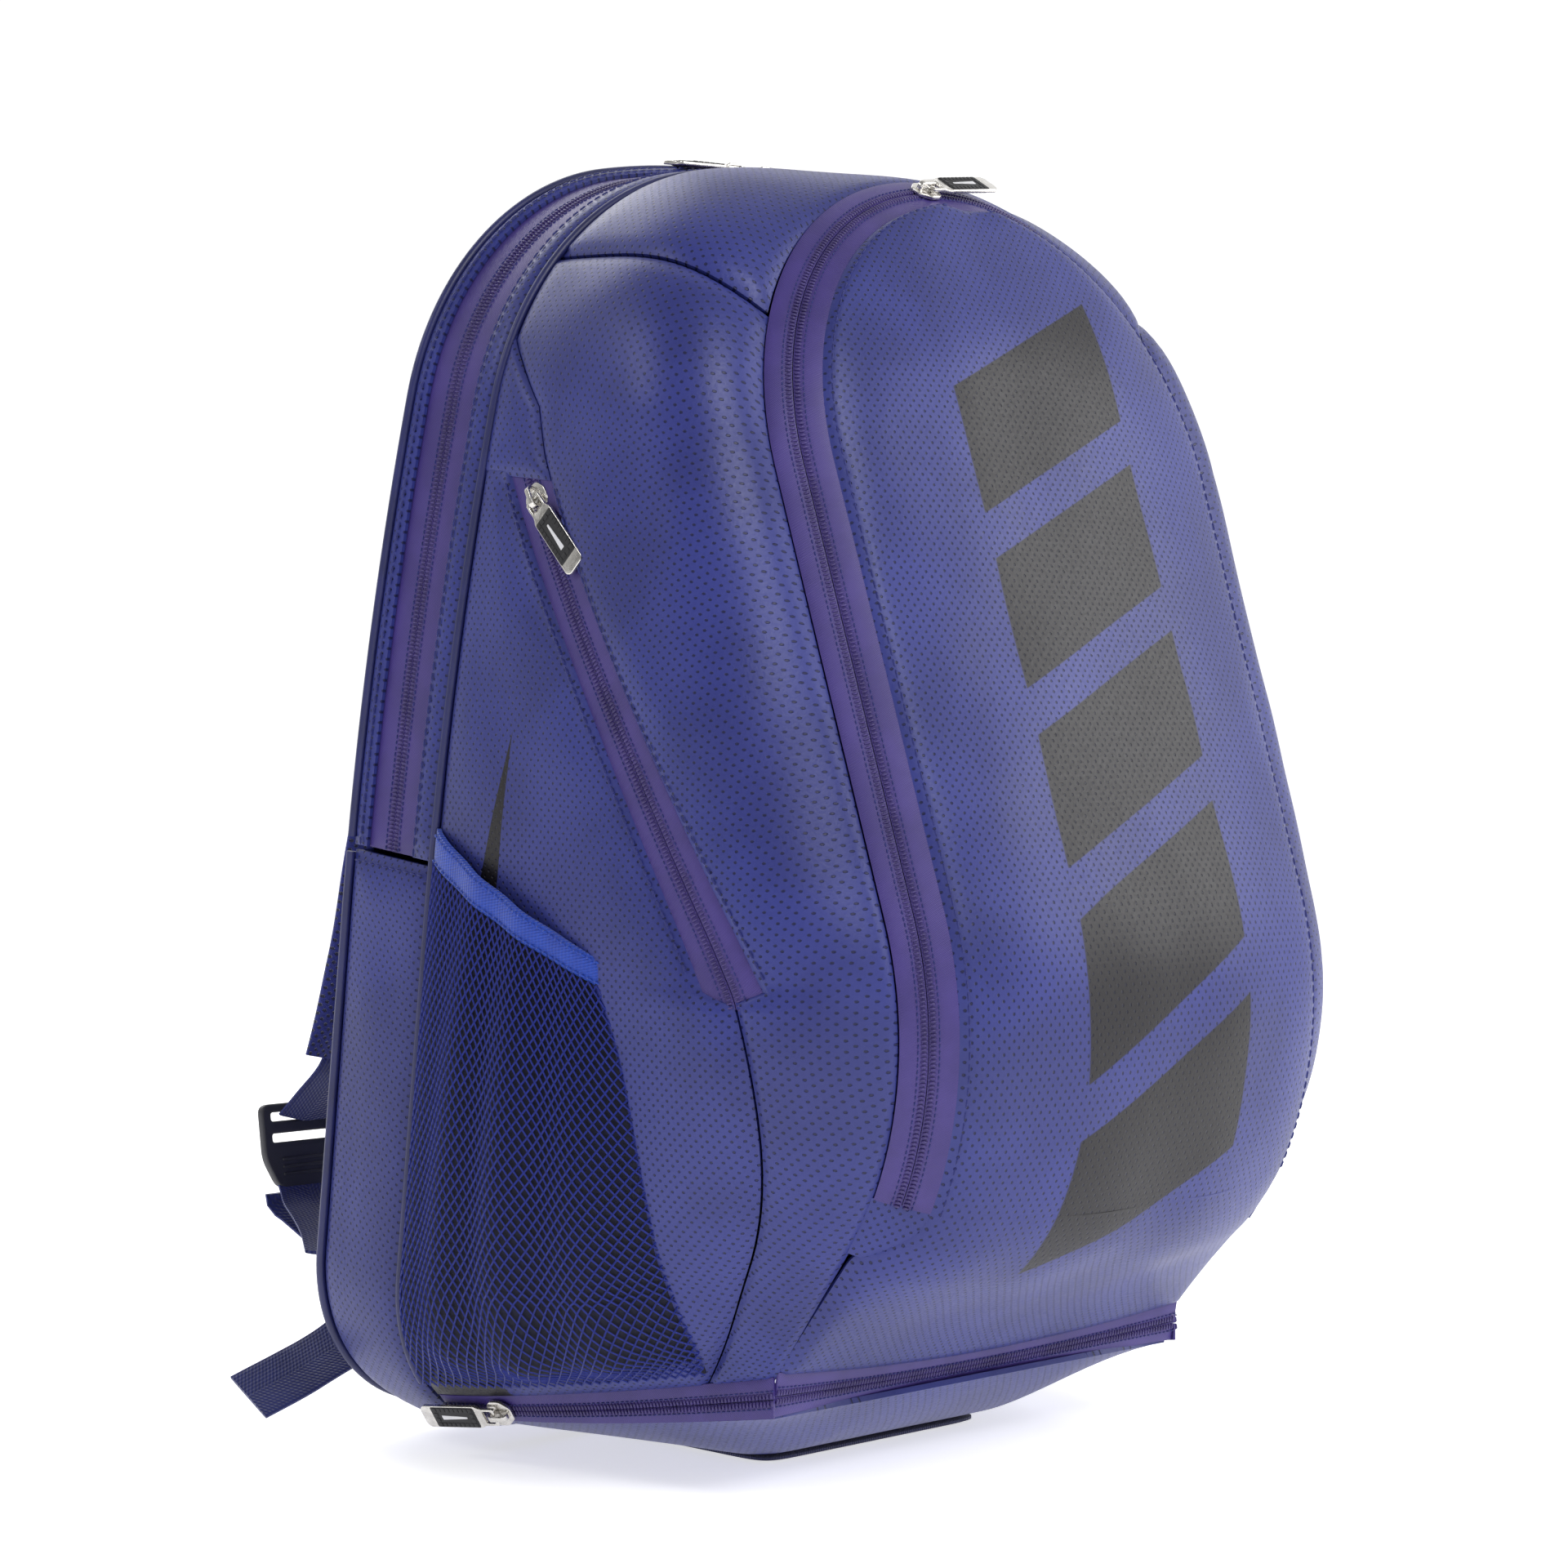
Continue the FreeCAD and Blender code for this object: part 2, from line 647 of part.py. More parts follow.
def make_front():
    length = front_zip_length()
    slope = math.hypot(D["front_zip_width"], D["front_zip_rise"])
    gap = D["zip_gap"] / 2 / slope
    tuck = 2.0 / slope
    for label, low, high, end in (("front_zip_outer_tape", 0.0, 0.5 - gap, length),
                                  ("front_zip_inner_tape", 0.5 + gap, 1 + tuck, length - 3)):
        def tape_place(row, column, rise, a=low, b=high, reach=end):
            return zip_band_point(-reach + 2 * reach * row, a + (b - a) * column, rise)
        soft_piece(label, [skin_solid(tape_place, 36, 1, -0.5, -0.5 - D["tape_skin"])])

    hinge = D["flap_hinge_run"]
    start = D["front_zip_width"] + 1.5

    def flap_place(row, column, rise):
        run = start + (hinge - 1 - start) * row ** 1.25
        return dome_point(-1 + 2 * column, run, rise)
    soft_piece("flap_panel", [skin_solid(flap_place, 16, 8, 1.5, 1.5 - D["skin"])])

    def lower_place(row, column, rise):
        across = -1 + 2 * column
        return lower_dome_point(across, hinge + (lower_end(across) - hinge) * row, rise)
    soft_piece("lower_front_panel", [skin_solid(lower_place, 8, 8, 1.5, 1.5 - D["skin"])])

    def divider_place(row, column, rise):
        run = 22 + (front_length() - 30) * row ** 1.2
        half = front_half_width(run, 0.0) + 6 * smooth(run / 80)
        return front_point((-1 + 2 * column) * half, run, rise - D["pocket_depth"])
    soft_piece("pocket_divider", [skin_solid(divider_place, 14, 6, 1.5, 0.0)])


# --- the base: zip band and panels ---------------------------------------------------------------

def base_rim(side, t):
    """Lower edge of the bottom zip band, below the wall's lower edge."""
    drop = D["band_height_rear"] + (D["band_height"] - D["band_height_rear"]) * t
    return wall_point(side * 1.0, t) + Vector(-side * 7 * (1 - t), 0, -drop)


def band_edges(stretch, along):
    """Lower and upper edge of the bottom zip band at a share of a stretch."""
    if stretch == "front":
        across = -1 + 2 * along
        top = lower_dome_point(across, lower_end(across), 0)
        return Vector(top.x, top.y + 3, base_rim(1, 1.0).z), top
    side = -1 if stretch == "left" else 1
    t = 0.03 + 0.95 * along
    return base_rim(side, t), wall_point(side * 1.0, t)


def band_point(stretch, along, offset, rise):
    """On the bottom zip band: offset is measured up it from its middle line."""
    low, top = band_edges(stretch, along)
    low_before, top_before = band_edges(stretch, max(0.0, along - 0.01))
    low_after, top_after = band_edges(stretch, min(1.0, along + 0.01))
    forward = (low_after + top_after - low_before - top_before).normalize()
    up = (top - low).normalize()
    out = up.cross(forward) if stretch == "right" else forward.cross(up)
    if stretch == "front":
        out = up.cross(forward)
    if out.z > 0 and abs(out.z) > 0.9:
        out = -out
    return (low + top) / 2 + up * offset + out.normalize() * rise


def band_half(stretch, along):
    low, top = band_edges(stretch, along)
    return (top - low).Length / 2


def base_place(row, column, rise):
    """The base panel: flat in the middle, turned up at its rim."""
    t = 0.04 + 0.94 * row
    rim = base_rim(-1, t)
    across = -1 + 2 * column
    half = abs(rim.x) - 4
    nose = max(0.0, (row - 0.57) / 0.43) ** 1.4
    turn_up = max(0.0, (abs(across) - 0.46) / 0.54) ** 1.4
    foot = D["base_rise"] + 0.4
    top = rim.z - 2.0
    middle = foot + (top - foot) * nose
    z = middle + (top - middle) * turn_up
    return Vector(across * half, rim.y, z + rise)


def make_base():
    gap = D["zip_gap"] / 2
    for label, sign in (("bottom_zip_lower_tape", -1), ("bottom_zip_upper_tape", 1)):
        shapes = []
        spans = [("left", 0.0, 1.0), ("front", 0.012, 0.988), ("right", 0.0, 1.0)]
        if sign < 0:
            # open where the slider stands, so that the base can swing clear of it
            spans[0:1] = [("left", 0.0, 0.13), ("left", 0.46, 1.0)]
        for stretch, start, end in spans:
            def tape_place(row, column, rise, where=stretch, way=sign, begin=start, stop=end):
                along = begin + (stop - begin) * row
                reach = gap + (band_half(where, along) - gap) * column
                return band_point(where, along, way * reach, rise)
            shapes.append(skin_solid(tape_place, 10, 1, 0.5, -0.5))
        soft_piece(label, shapes)
    soft_piece("base_panel", [skin_solid(base_place, 12, 10, 0.0, D["skin"])])
    board = new_body("base_board")
    x = D["wear_width"] / 2
    front = D["wear_middle"] - D["wear_length"] / 2
    rear = D["wear_middle"] + D["wear_length"] / 2
    outline = add_sketch(board, "board_outline", "XY_Plane", [rectangle(-x, front, x, rear)],
                         "Dimensions.base_rise + Dimensions.skin + 2.3")
    add_pad(board, outline, "board_pad", "Dimensions.board_skin")
    keep(board, "base_board")
    wear = new_body("wear_patch")
    corner = 14
    outline = add_sketch(wear, "wear_outline", "XY_Plane", [polygon([
        (-x + corner, front), (x - corner, front), (x, front + corner), (x, rear - corner),
        (x - corner, rear), (-x + corner, rear), (-x, rear - corner), (-x, front + corner)])])
    add_pad(wear, outline, "wear_pad", "Dimensions.base_rise")
    keep(wear, "wear_patch")


# --- sliders and pulls ---------------------------------------------------------------------------

def frame_at(point, forward, outward):
    """Placement with local x forward and local z outward."""
    forward = Vector(forward).normalize()
    side = outward.cross(forward).normalize()
    return Placement(point, Rotation(forward, side, forward.cross(side), "XYZ"))


def make_slider(name, place, turn):
    """A slider with its pull: the pull lies along local -x, turned by an angle."""
    half_length = D["slider_length"] / 2
    half_width = D["slider_width"] / 2
    nose = 2.0
    shield = [(-half_length, -half_width + nose), (-half_length + nose, -half_width),
              (half_length - 2 * nose, -half_width), (half_length, -half_width + 1.5 * nose),
              (half_length, half_width - 1.5 * nose), (half_length - 2 * nose, half_width),
              (-half_length + nose, half_width), (-half_length, half_width - nose)]
    body = new_body(f"{name}_slider")
    plate = add_sketch(body, f"{name}_top", "XY_Plane", [polygon(shield)], "Dimensions.slider_slot")
    add_pad(body, plate, f"{name}_top_plate", "Dimensions.slider_plate")
    base = D["slider_slot"] + D["slider_plate"] - 0.2
    top = base + D["bail_height"]
    reach = D["bail_length"] / 2
    leg = D["bail_leg"]
    arch = polygon([(-reach, base), (reach, base), (reach, top - 1.2), (reach - 1.2, top),
                    (-reach + 1.2, top), (-reach, top - 1.2)])
    hole = rectangle(-reach + leg, base + 0.2, reach - leg, base + 0.2 + D["bail_hole"])
    bail = add_sketch(body, f"{name}_bail", "XZ_Plane", [arch, hole])
    add_pad(body, bail, f"{name}_bail_pad", "Dimensions.bail_width", midplane=True)
    post_half = D["post_width"] / 2
    post = add_sketch(body, f"{name}_post", "XY_Plane",
                      [rectangle(1.5, -post_half, 4.5, post_half)], "-Dimensions.slider_slot")
    add_pad(body, post, f"{name}_post_pad", "2 * Dimensions.slider_slot")
    under = add_sketch(body, f"{name}_under", "XY_Plane", [polygon(shield)],
                       "-Dimensions.slider_slot - Dimensions.slider_plate")
    add_pad(body, under, f"{name}_under_plate", "Dimensions.slider_plate")
    body.Placement = place
    keep(body, f"{name}_slider")

    pivot = Placement(Vector(-D["pivot_shift"], 0, D["pivot_height"]),
                      Rotation(Vector(0, 0, 1), 180 + turn))
    pull_place = place.multiply(pivot)
    half = D["pull_width"] / 2
    bar = D["pull_skin"] / 2
    length = D["pull_length"]
    outline = [(-bar, -half + 1.2), (6, -half + 1.2), (8.5, -half), (length - 1.5, -half),
               (length, -half + 1.5), (length, half - 1.5), (length - 1.5, half), (8.5, half),
               (6, half - 1.2), (-bar, half - 1.2)]
    frame = new_body(f"{name}_pull_frame")
    loops = [polygon(outline), rectangle(bar, -2.8, 5.4, 2.8),
             rectangle(9.5, -half + 1.1, length - 6.5, half - 1.1)]
    plan = add_sketch(frame, f"{name}_pull_plan", "XY_Plane", loops)
    add_pad(frame, plan, f"{name}_pull_pad", "Dimensions.pull_skin", midplane=True)
    frame.Placement = pull_place
    keep(frame, f"{name}_pull_frame")
    insert = new_body(f"{name}_pull_insert")
    plan = add_sketch(insert, f"{name}_insert_plan", "XY_Plane",
                      [rectangle(9.5, -half + 1.1, length - 6.5, half - 1.1)])
    add_pad(insert, plan, f"{name}_insert_pad", "Dimensions.insert_skin", midplane=True)
    insert.Placement = pull_place
    keep(insert, f"{name}_pull_insert")
    report_joint(name, place, pull_place)


def report_joint(name, place, pull_place):
    """Print the axes that the joints of a slider need."""
    rotate = place.Rotation
    forward = rotate.multVec(Vector(1, 0, 0))
    hinge = pull_place.Rotation.multVec(Vector(0, -1, 0))
    print(f"JOINT {name} at {place.Base} forward {forward} pull at {pull_place.Base} axis {hinge}")


def make_sliders():
    # main zip: nose to nose on the crown, between the two tapes
    depth = D["front_strip_depth"] + (
        D["rear_depth"] - D["front_strip_depth"] - D["rear_strip_depth"]) / 2
    level = D["crown_radius"] - D["strip_skin"] - D["tape_skin"] / 2
    centre = D["arch_top"] - D["crown_radius"]
    spread = math.radians(1.5)
    middle = math.radians(-0.9)
    for name, side, turn in (("main_left", -1, 5), ("main_right", 1, -32)):
        angle = middle + side * spread
        point = rear_point(level * math.sin(angle), centre + level * math.cos(angle), depth)
        up = rear_point(math.sin(angle), math.cos(angle), 0) - rear_point(0, 0, 0)
        along = rear_point(math.cos(angle), -math.sin(angle), 0) - rear_point(0, 0, 0)
        make_slider(name, frame_at(point, along, up), turn)
    # front zip: near the top of the arch, its pull to the right
    s = -14.0
    point = zip_band_point(s, 0.5, -1.0)
    along = zip_band_point(s - 1, 0.5, -1.0) - point
    up = zip_band_point(s, 0.5, 0.0) - point
    make_slider("front", frame_at(point, along, up.normalize()), 0)
    # side zips: at the top end, pulls hanging
    for name, side in (("side_left", -1), ("side_right", 1)):
        share = ZIP_TOP_U + 0.028
        rise = -D["skin"] - D["tape_skin"] / 2
        point = off_wall(side * share, seam_t(share), rise)
        further = share + 0.08
        along = point - off_wall(side * further, seam_t(further), rise)
        up = wall_normal(side * (share + 0.04), seam_t(share + 0.04))
        make_slider(name, frame_at(point, along, up), -side * 16)
    # bottom zip: under the left side, near the rear
    along_at = 0.20
    point = band_point("left", along_at, 0.0, 0.0)
    forward = band_point("left", along_at + 0.05, 0.0, 0.0) - point
    up = band_point("left", along_at, 0.0, 1.0) - point
    make_slider("bottom", frame_at(point, forward, up), 0)


# --- harness -------------------------------------------------------------------------------------

def make_harness():
    for name, side in (("left", -1), ("right", 1)):
        across = Vector(1, 0, 0)
        upper = [Vector(side * x, y, z) for x, y, z in (
            (63, 78, 440), (67, 96, 405), (74, 116, 345), (86, 130, 290), (93, 138, 250))]
        soft_piece(f"strap_upper_{name}", [strip_solid(upper, [across] * len(upper),
                                                       D["strap_width"], D["strap_skin"])])
        lower = [Vector(side * x, y, z) for x, y, z in (
            (99, 145, 202), (104, 151, 173), (110, 157, 142))]
        soft_piece(f"strap_lower_{name}", [strip_solid(lower, [across] * len(lower),
                                                       D["strap_width"], D["strap_skin"])])
        web = D["webbing_skin"]
        climb = [Vector(side * x, y, z) for x, y, z in (
            (120, 170, 87), (124, 157, 81), (130, 142, 75), (139, 127, 70))]
        strap = strip_solid(climb, [across] * len(climb), D["webbing_width"], web)
        tail = [Vector(side * x, y, z) for x, y, z in (
            (119, 183, 86), (109, 170, 71), (99, 157, 57), (99, 149, 44), (113, 150, 33),
            (138, 153, 22), (160, 158, 13))]
        slant = Vector(0.707, 0.707 * side, 0)
        sides = [Vector(1, 0, 0)] * 2 + [Vector(0.95, 0.3 * side, 0)] + [slant] * 4
        soft_piece(f"webbing_{name}", [strap, strip_solid(tail, sides, D["webbing_width"], web)])
        make_ladder_lock(name, side)


def make_ladder_lock(name, side):
    """Flat frame with three bars and a flared tab."""
    body = new_body(f"ladder_lock_{name}")
    loops = [polygon([(-19, 12), (19, 12), (19, -10), (13, -22), (-13, -22), (-19, -10)]),
             rectangle(-14.5, 5, 14.5, 8.5), rectangle(-14.5, -3.5, 14.5, 0)]
    plan = add_sketch(body, f"lock_{name}_plan", "XZ_Plane", loops)
    add_pad(body, plan, f"lock_{name}_pad", "2 * Dimensions.pull_skin + 1", midplane=True)
    body.Placement = Placement(Vector(side * 120, 177, 113), Rotation(Vector(1, 0, 0), -8))
    keep(body, f"ladder_lock_{name}")


def make_handle():
    """Haul loop: a webbing U that hangs behind the top of the back panel."""
    depth = D["rear_depth"] + D["back_panel_skin"] + 11
    route = [rear_point(x, 455 - fall, depth) for x, fall in (
        (-30, 0), (-28.5, 18), (-20, 32), (-7, 38), (7, 38), (20, 32), (28.5, 18), (30, 0))]
    across = Vector(0, 1, 0)
    solid = strip_solid(route, [across] * len(route), 20, D["webbing_skin"])
    soft_piece("haul_handle", [solid])


# --- build, check and write ------------------------------------------------------------------------

make_rear_unit()
make_sleeve()
make_piping()
make_wall()
make_pockets()
make_front()
make_base()
make_sliders()
make_harness()
make_handle()
doc.recompute()

for item in doc.Objects:
    if "Invalid" in item.State or "Error" in item.State:
        raise RuntimeError(f"{item.Name}: {item.State}")
for part in SUB_PARTS:
    if part.Shape.isNull() or not part.Shape.isValid() or part.Shape.Volume < 1:
        raise RuntimeError(f"{part.Label}: bad shape")

os.makedirs("parts", exist_ok=True)
for part in SUB_PARTS:
    part.Shape.exportStep(f"parts/{part.Label}.step")
print(len(SUB_PARTS), "sub-parts written")
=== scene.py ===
"""Racket backpack: the looks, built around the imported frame.

The bag stands on the floor: +Z up, -Y towards the front pocket, +Y towards the wearer.
Shapes are worked out in millimetres and become metres when a mesh is made.
"""
import json
import math

import bmesh
import bpy
import numpy as np
from mathutils import Matrix, Vector, noise


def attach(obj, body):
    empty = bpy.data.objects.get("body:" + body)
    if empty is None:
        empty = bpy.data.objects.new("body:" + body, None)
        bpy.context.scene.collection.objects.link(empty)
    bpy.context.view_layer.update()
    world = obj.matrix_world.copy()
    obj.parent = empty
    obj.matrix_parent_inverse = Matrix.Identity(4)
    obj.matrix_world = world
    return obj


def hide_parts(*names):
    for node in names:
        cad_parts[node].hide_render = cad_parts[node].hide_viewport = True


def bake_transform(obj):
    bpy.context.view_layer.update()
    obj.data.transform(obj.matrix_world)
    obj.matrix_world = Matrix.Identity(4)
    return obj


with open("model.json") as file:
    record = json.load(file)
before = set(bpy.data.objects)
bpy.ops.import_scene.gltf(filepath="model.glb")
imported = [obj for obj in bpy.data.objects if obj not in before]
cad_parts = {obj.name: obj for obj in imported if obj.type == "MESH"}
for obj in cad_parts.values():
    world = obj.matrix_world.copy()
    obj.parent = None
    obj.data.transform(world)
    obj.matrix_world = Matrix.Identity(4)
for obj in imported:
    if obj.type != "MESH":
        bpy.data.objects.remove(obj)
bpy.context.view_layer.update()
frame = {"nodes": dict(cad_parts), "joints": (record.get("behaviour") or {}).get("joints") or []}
MM = 0.001
CENTRE = np.array([0.0, 0.0, 230.0])
SIDES = (("left", -1), ("right", 1))

# --- driving dimensions, the same as the frame's -------------------------------------------

LEAN = math.radians(7)
REAR_FOOT_Y = 69
REAR_DEPTH = 46
ARCH_TOP = 496
HALF_WIDTH = 163
CROWN_RADIUS = 340
SHOULDER_RADIUS = 107
SIDE_RADIUS = 1500
SIDE_TURN = math.radians(7.5)
CORNER_RADIUS = 66
WALL_END_TURN = 0.756
REAR_CLEARANCE = 6
ZIP_END_HEIGHT = 228
FRONT_STRIP = 12
REAR_STRIP = 7
STRIP_SKIN = 2
SKIN = 2.5
ZIP_GAP = 0.3
BACK_PANEL = 4
PAD_SKIN = 12

FRONT_LEAN = math.radians(17.7)
FRONT_TOP_Y = -59
FRONT_TOP_Z = 483
FRONT_STRAIGHT = 285
CURL_RADIUS = 130
CURL_TURN = math.radians(56)
FRONT_TAIL = 56
FRONT_ARCH = 119
FRONT_ARCH_TURN = math.radians(91)
ZIP_WIDTH = 15
ZIP_RISE = 12
HINGE_RUN = 383
FRONT_DOME = 11
POCKET_DEPTH = 36
BAND_HEIGHT = 13.5
BAND_HEIGHT_REAR = 8
POCKET_BULGE = 17
FLAP_START = 16
CHANNEL_PITCH = 44
BASE_RISE = 2.4
BOWL_POWER = 1.4
BASE_MIDDLE_Y = 10


# --- outlines: straight runs and clockwise arcs ----------------------------------------------

def track(x, y, heading, runs):
    """Each run with its start length, start point and start heading; radius 0 is straight."""
    placed = []
    start = 0.0
    for length, radius in runs:
        placed.append((start, length, radius, x, y, heading))
        x, y, heading = along_run(placed[-1], length)
        start += length
    return placed


def along_run(run, distance):
    """Point and heading at a distance into a run."""
    radius, x, y, heading = run[2:]
    if radius == 0:
        return x + distance * math.cos(heading), y + distance * math.sin(heading), heading
    turn = distance / radius
    centre_x = x + radius * math.sin(heading)
    centre_y = y - radius * math.cos(heading)
    heading -= turn
    return centre_x - radius * math.sin(heading), centre_y + radius * math.cos(heading), heading


def track_point(placed, s, inset=0.0):
    """Point and heading at arc length s, moved to the track's right by inset."""
    chosen = placed[0]
    for run in placed:
        if s >= run[0]:
            chosen = run
    x, y, heading = along_run(chosen, s - chosen[0])
    return x + inset * math.sin(heading), y - inset * math.cos(heading), heading


def track_length(placed):
    return placed[-1][0] + placed[-1][1]


def rear_track():
    """Right half of the rear arch: crown, shoulder, side, bottom corner, bottom."""
    flank = math.pi / 2 - SIDE_TURN
    reach = HALF_WIDTH - SHOULDER_RADIUS * math.sin(flank) - SIDE_RADIUS * (1 - math.sin(flank))
    crown = math.asin(reach / (CROWN_RADIUS - SHOULDER_RADIUS))
    drop = CROWN_RADIUS * (1 - math.cos(crown)) + SIDE_RADIUS * math.cos(flank)
    drop += SHOULDER_RADIUS * (math.cos(crown) - math.cos(flank))
    straight = ARCH_TOP - drop - CORNER_RADIUS - REAR_CLEARANCE
    return track(0, ARCH_TOP, 0, [
        (CROWN_RADIUS * crown, CROWN_RADIUS), (SHOULDER_RADIUS * (flank - crown), SHOULDER_RADIUS),
        (SIDE_RADIUS * SIDE_TURN, SIDE_RADIUS), (straight, 0),
        (CORNER_RADIUS * math.pi / 2, CORNER_RADIUS), (HALF_WIDTH - CORNER_RADIUS, 0)])


REAR = rear_track()
REAR_LENGTH = track_length(REAR)
PROFILE = track(-FRONT_TOP_Y, FRONT_TOP_Z, FRONT_LEAN - math.pi / 2, [
    (FRONT_STRAIGHT, 0), (CURL_RADIUS * CURL_TURN, CURL_RADIUS), (FRONT_TAIL, 0)])
FRONT_RUN = track_length(PROFILE)
FRONT = track(0, 0, 0, [(FRONT_ARCH * FRONT_ARCH_TURN, FRONT_ARCH), (FRONT_RUN - FRONT_ARCH, 0)])
FRONT_LENGTH = track_length(FRONT)
HINGE_LENGTH = FRONT_ARCH * FRONT_ARCH_TURN + HINGE_RUN - FRONT_ARCH
WALL_END = REAR_LENGTH - (HALF_WIDTH - CORNER_RADIUS) - CORNER_RADIUS * WALL_END_TURN


def length_at(height):
    """Arc length where the rear arch's right half comes down to a height."""
    low, high = 0.0, REAR_LENGTH
    for _ in range(40):
        middle = (low + high) / 2
        if track_point(REAR, middle)[1] > height:
            low = middle
        else:
            high = middle
    return low


ZIP_CUT = length_at(ZIP_END_HEIGHT)


def smooth(value):
    value = min(1.0, max(0.0, value))
    return value * value * (3 - 2 * value)


def rear_point(x, height, depth):
    """Point of the leaning rear unit: height up its front face, depth behind it."""
    y = REAR_FOOT_Y + depth * math.cos(LEAN) - height * math.sin(LEAN)
    return np.array([x, y, height * math.cos(LEAN) + depth * math.sin(LEAN)])


def rear_arch(s, depth, inset):
    """On the rear unit: s from the crown, negative to the left, on past the bottom's middle."""
    side = -1.0 if s < 0 else 1.0
    s = abs(s)
    if s > REAR_LENGTH:
        s = 2 * REAR_LENGTH - s
        side = -side
    x, height, _ = track_point(REAR, s, inset)
    return rear_point(side * x, height, depth)


def front_point(x, run, rise=0.0):
    """Point of the front pocket: run down its profile, rise out of it."""
    y, z, heading = track_point(PROFILE, max(0.0, run))
    if run < 0:
        y += run * math.cos(heading)
        z += run * math.sin(heading)
    return np.array([x, -y + rise * math.sin(heading), z + rise * math.cos(heading)])


def crown_power(share):
    """How squarely the wall turns out of the rear arch, from its crown to its foot."""
    top = 1 - smooth(share / 0.4)
    foot = smooth((share - 0.72) / 0.28)
    return 7.6 - 6.8 * top - 6.3 * foot


def wall_point(u, t):
    """The wall from the rear arch (t 0) to the front zip (t 1); u from -1 to 1 over the top."""
    side = -1.0 if u < 0 else 1.0
    share = abs(u)
    x, height, heading = track_point(REAR, share * WALL_END)
    start = rear_point(x, height, 0)
    fx, run, _ = track_point(FRONT, share * FRONT_LENGTH)
    gap = front_point(fx, -run) - start
    normal = np.array([-math.sin(heading), 0, math.cos(heading)])
    tangent = np.array([math.cos(heading), 0, math.sin(heading)])
    point = start + np.array([0, gap[1] * t, 0])
    point = point + normal * (gap.dot(normal) * t ** crown_power(share))
    point = point + tangent * (gap.dot(tangent) * t ** 1.2)
    return np.array([side * point[0], point[1], point[2]])


def wall_normal(u, t):
    step = 0.004
    across = wall_point(u, min(1.0, t + step)) - wall_point(u, max(0.0, t - step))
    along = wall_point(min(1.0, u + step), t) - wall_point(max(-1.0, u - step), t)
    normal = np.cross(across, along)
    return normal / np.linalg.norm(normal)


def off_wall(u, t, rise):
    """Point at a rise out of the wall."""
    return wall_point(u, t) + wall_normal(u, t) * rise


# --- meshes -------------------------------------------------------------------------------

def grid(place, rows, columns):
    return np.array([[place(i / rows, j / columns) for j in range(columns + 1)]
                     for i in range(rows + 1)], float)


def grid_normals(points):
    """Unit normals that point away from the middle of the bag."""
    normals = np.cross(np.gradient(points, axis=0), np.gradient(points, axis=1))
    normals /= np.linalg.norm(normals, axis=2, keepdims=True) + 1e-12
    outward = np.sum(normals * (points - CENTRE)) >= 0
    return (normals, False) if outward else (-normals, True)


def line_distance(points, axis):
    """Distance of every grid point from the grid's first line along an axis."""
    steps = np.linalg.norm(np.diff(points, axis=axis), axis=2)
    start = np.zeros_like(np.take(steps, [0], axis=axis))
    return np.concatenate([start, np.cumsum(steps, axis=axis)], axis=axis)


def edge_distance(points, sides):
    """Distance to the nearest of the chosen sides: first and last row, first and last column."""
    rows = line_distance(points, 0)
    columns = line_distance(points, 1)
    choices = [rows, rows[-1:] - rows, columns, columns[:, -1:] - columns]
    return np.min([choices[int(side)] for side in sides], axis=0)


def ripple(points, size):
    """Gentle unevenness of about -1 to 1, with waves of a given size."""
    flat = points.reshape(-1, 3) / size
    values = [noise.noise(Vector(p)) for p in flat]
    return np.array(values).reshape(points.shape[:2]) * 1.6


def make_mesh(name, points, faces, uvs, materials, which=None, sharp=50):
    """Mesh object from points in millimetres, quads or triangles, and a uv for each point."""
    mesh = bpy.data.meshes.new(name)
    mesh.from_pydata((np.asarray(points, float) * MM).tolist(), [], [list(f) for f in faces])
    layer = mesh.uv_layers.new(name="UVMap")
    corner = np.zeros(len(mesh.loops), np.int32)
    mesh.loops.foreach_get("vertex_index", corner)
    layer.data.foreach_set("uv", (np.asarray(uvs, float)[corner] * MM).ravel())
    for material in materials:
        mesh.materials.append(material)
    if which is not None:
        mesh.polygons.foreach_set("material_index", np.asarray(which, np.int32))
    mesh.shade_smooth()
    mesh.set_sharp_from_angle(angle=math.radians(sharp))
    mesh.update()
    thing = bpy.data.objects.new(name, mesh)
    bpy.context.scene.collection.objects.link(thing)
    return thing


def quads(rows, columns, offset, turned):
    """Faces of a grid of rows by columns cells."""
    i, j = np.meshgrid(np.arange(rows), np.arange(columns), indexing="ij")
    a = (offset + i * (columns + 1) + j).ravel()
    faces = np.stack([a, a + columns + 1, a + columns + 2, a + 1], axis=1)
    return faces[:, ::-1] if turned else faces


def thick_sheet(name, outer, inner, uv, materials, turned):
    """Closed sheet between two grids; its inside takes the last material."""
    rows, columns = outer.shape[0] - 1, outer.shape[1] - 1
    count = (rows + 1) * (columns + 1)
    faces = [quads(rows, columns, 0, turned), quads(rows, columns, count, not turned)]
    index = np.arange(count).reshape(rows + 1, columns + 1)
    ring = np.concatenate([index[0, :], index[1:, -1], index[-1, -2::-1], index[-2:0:-1, 0]])
    after = np.roll(ring, -1)
    rim = np.stack([ring, after, after + count, ring + count], axis=1)
    faces.append(rim[:, ::-1] if turned else rim)
    which = np.concatenate([np.zeros(rows * columns), np.full(rows * columns, len(materials) - 1),
                            np.zeros(len(rim))])
    points = np.concatenate([outer.reshape(-1, 3), inner.reshape(-1, 3)])
    uvs = np.concatenate([uv.reshape(-1, 2)] * 2)
    return make_mesh(name, points, np.concatenate(faces), uvs, materials, which)


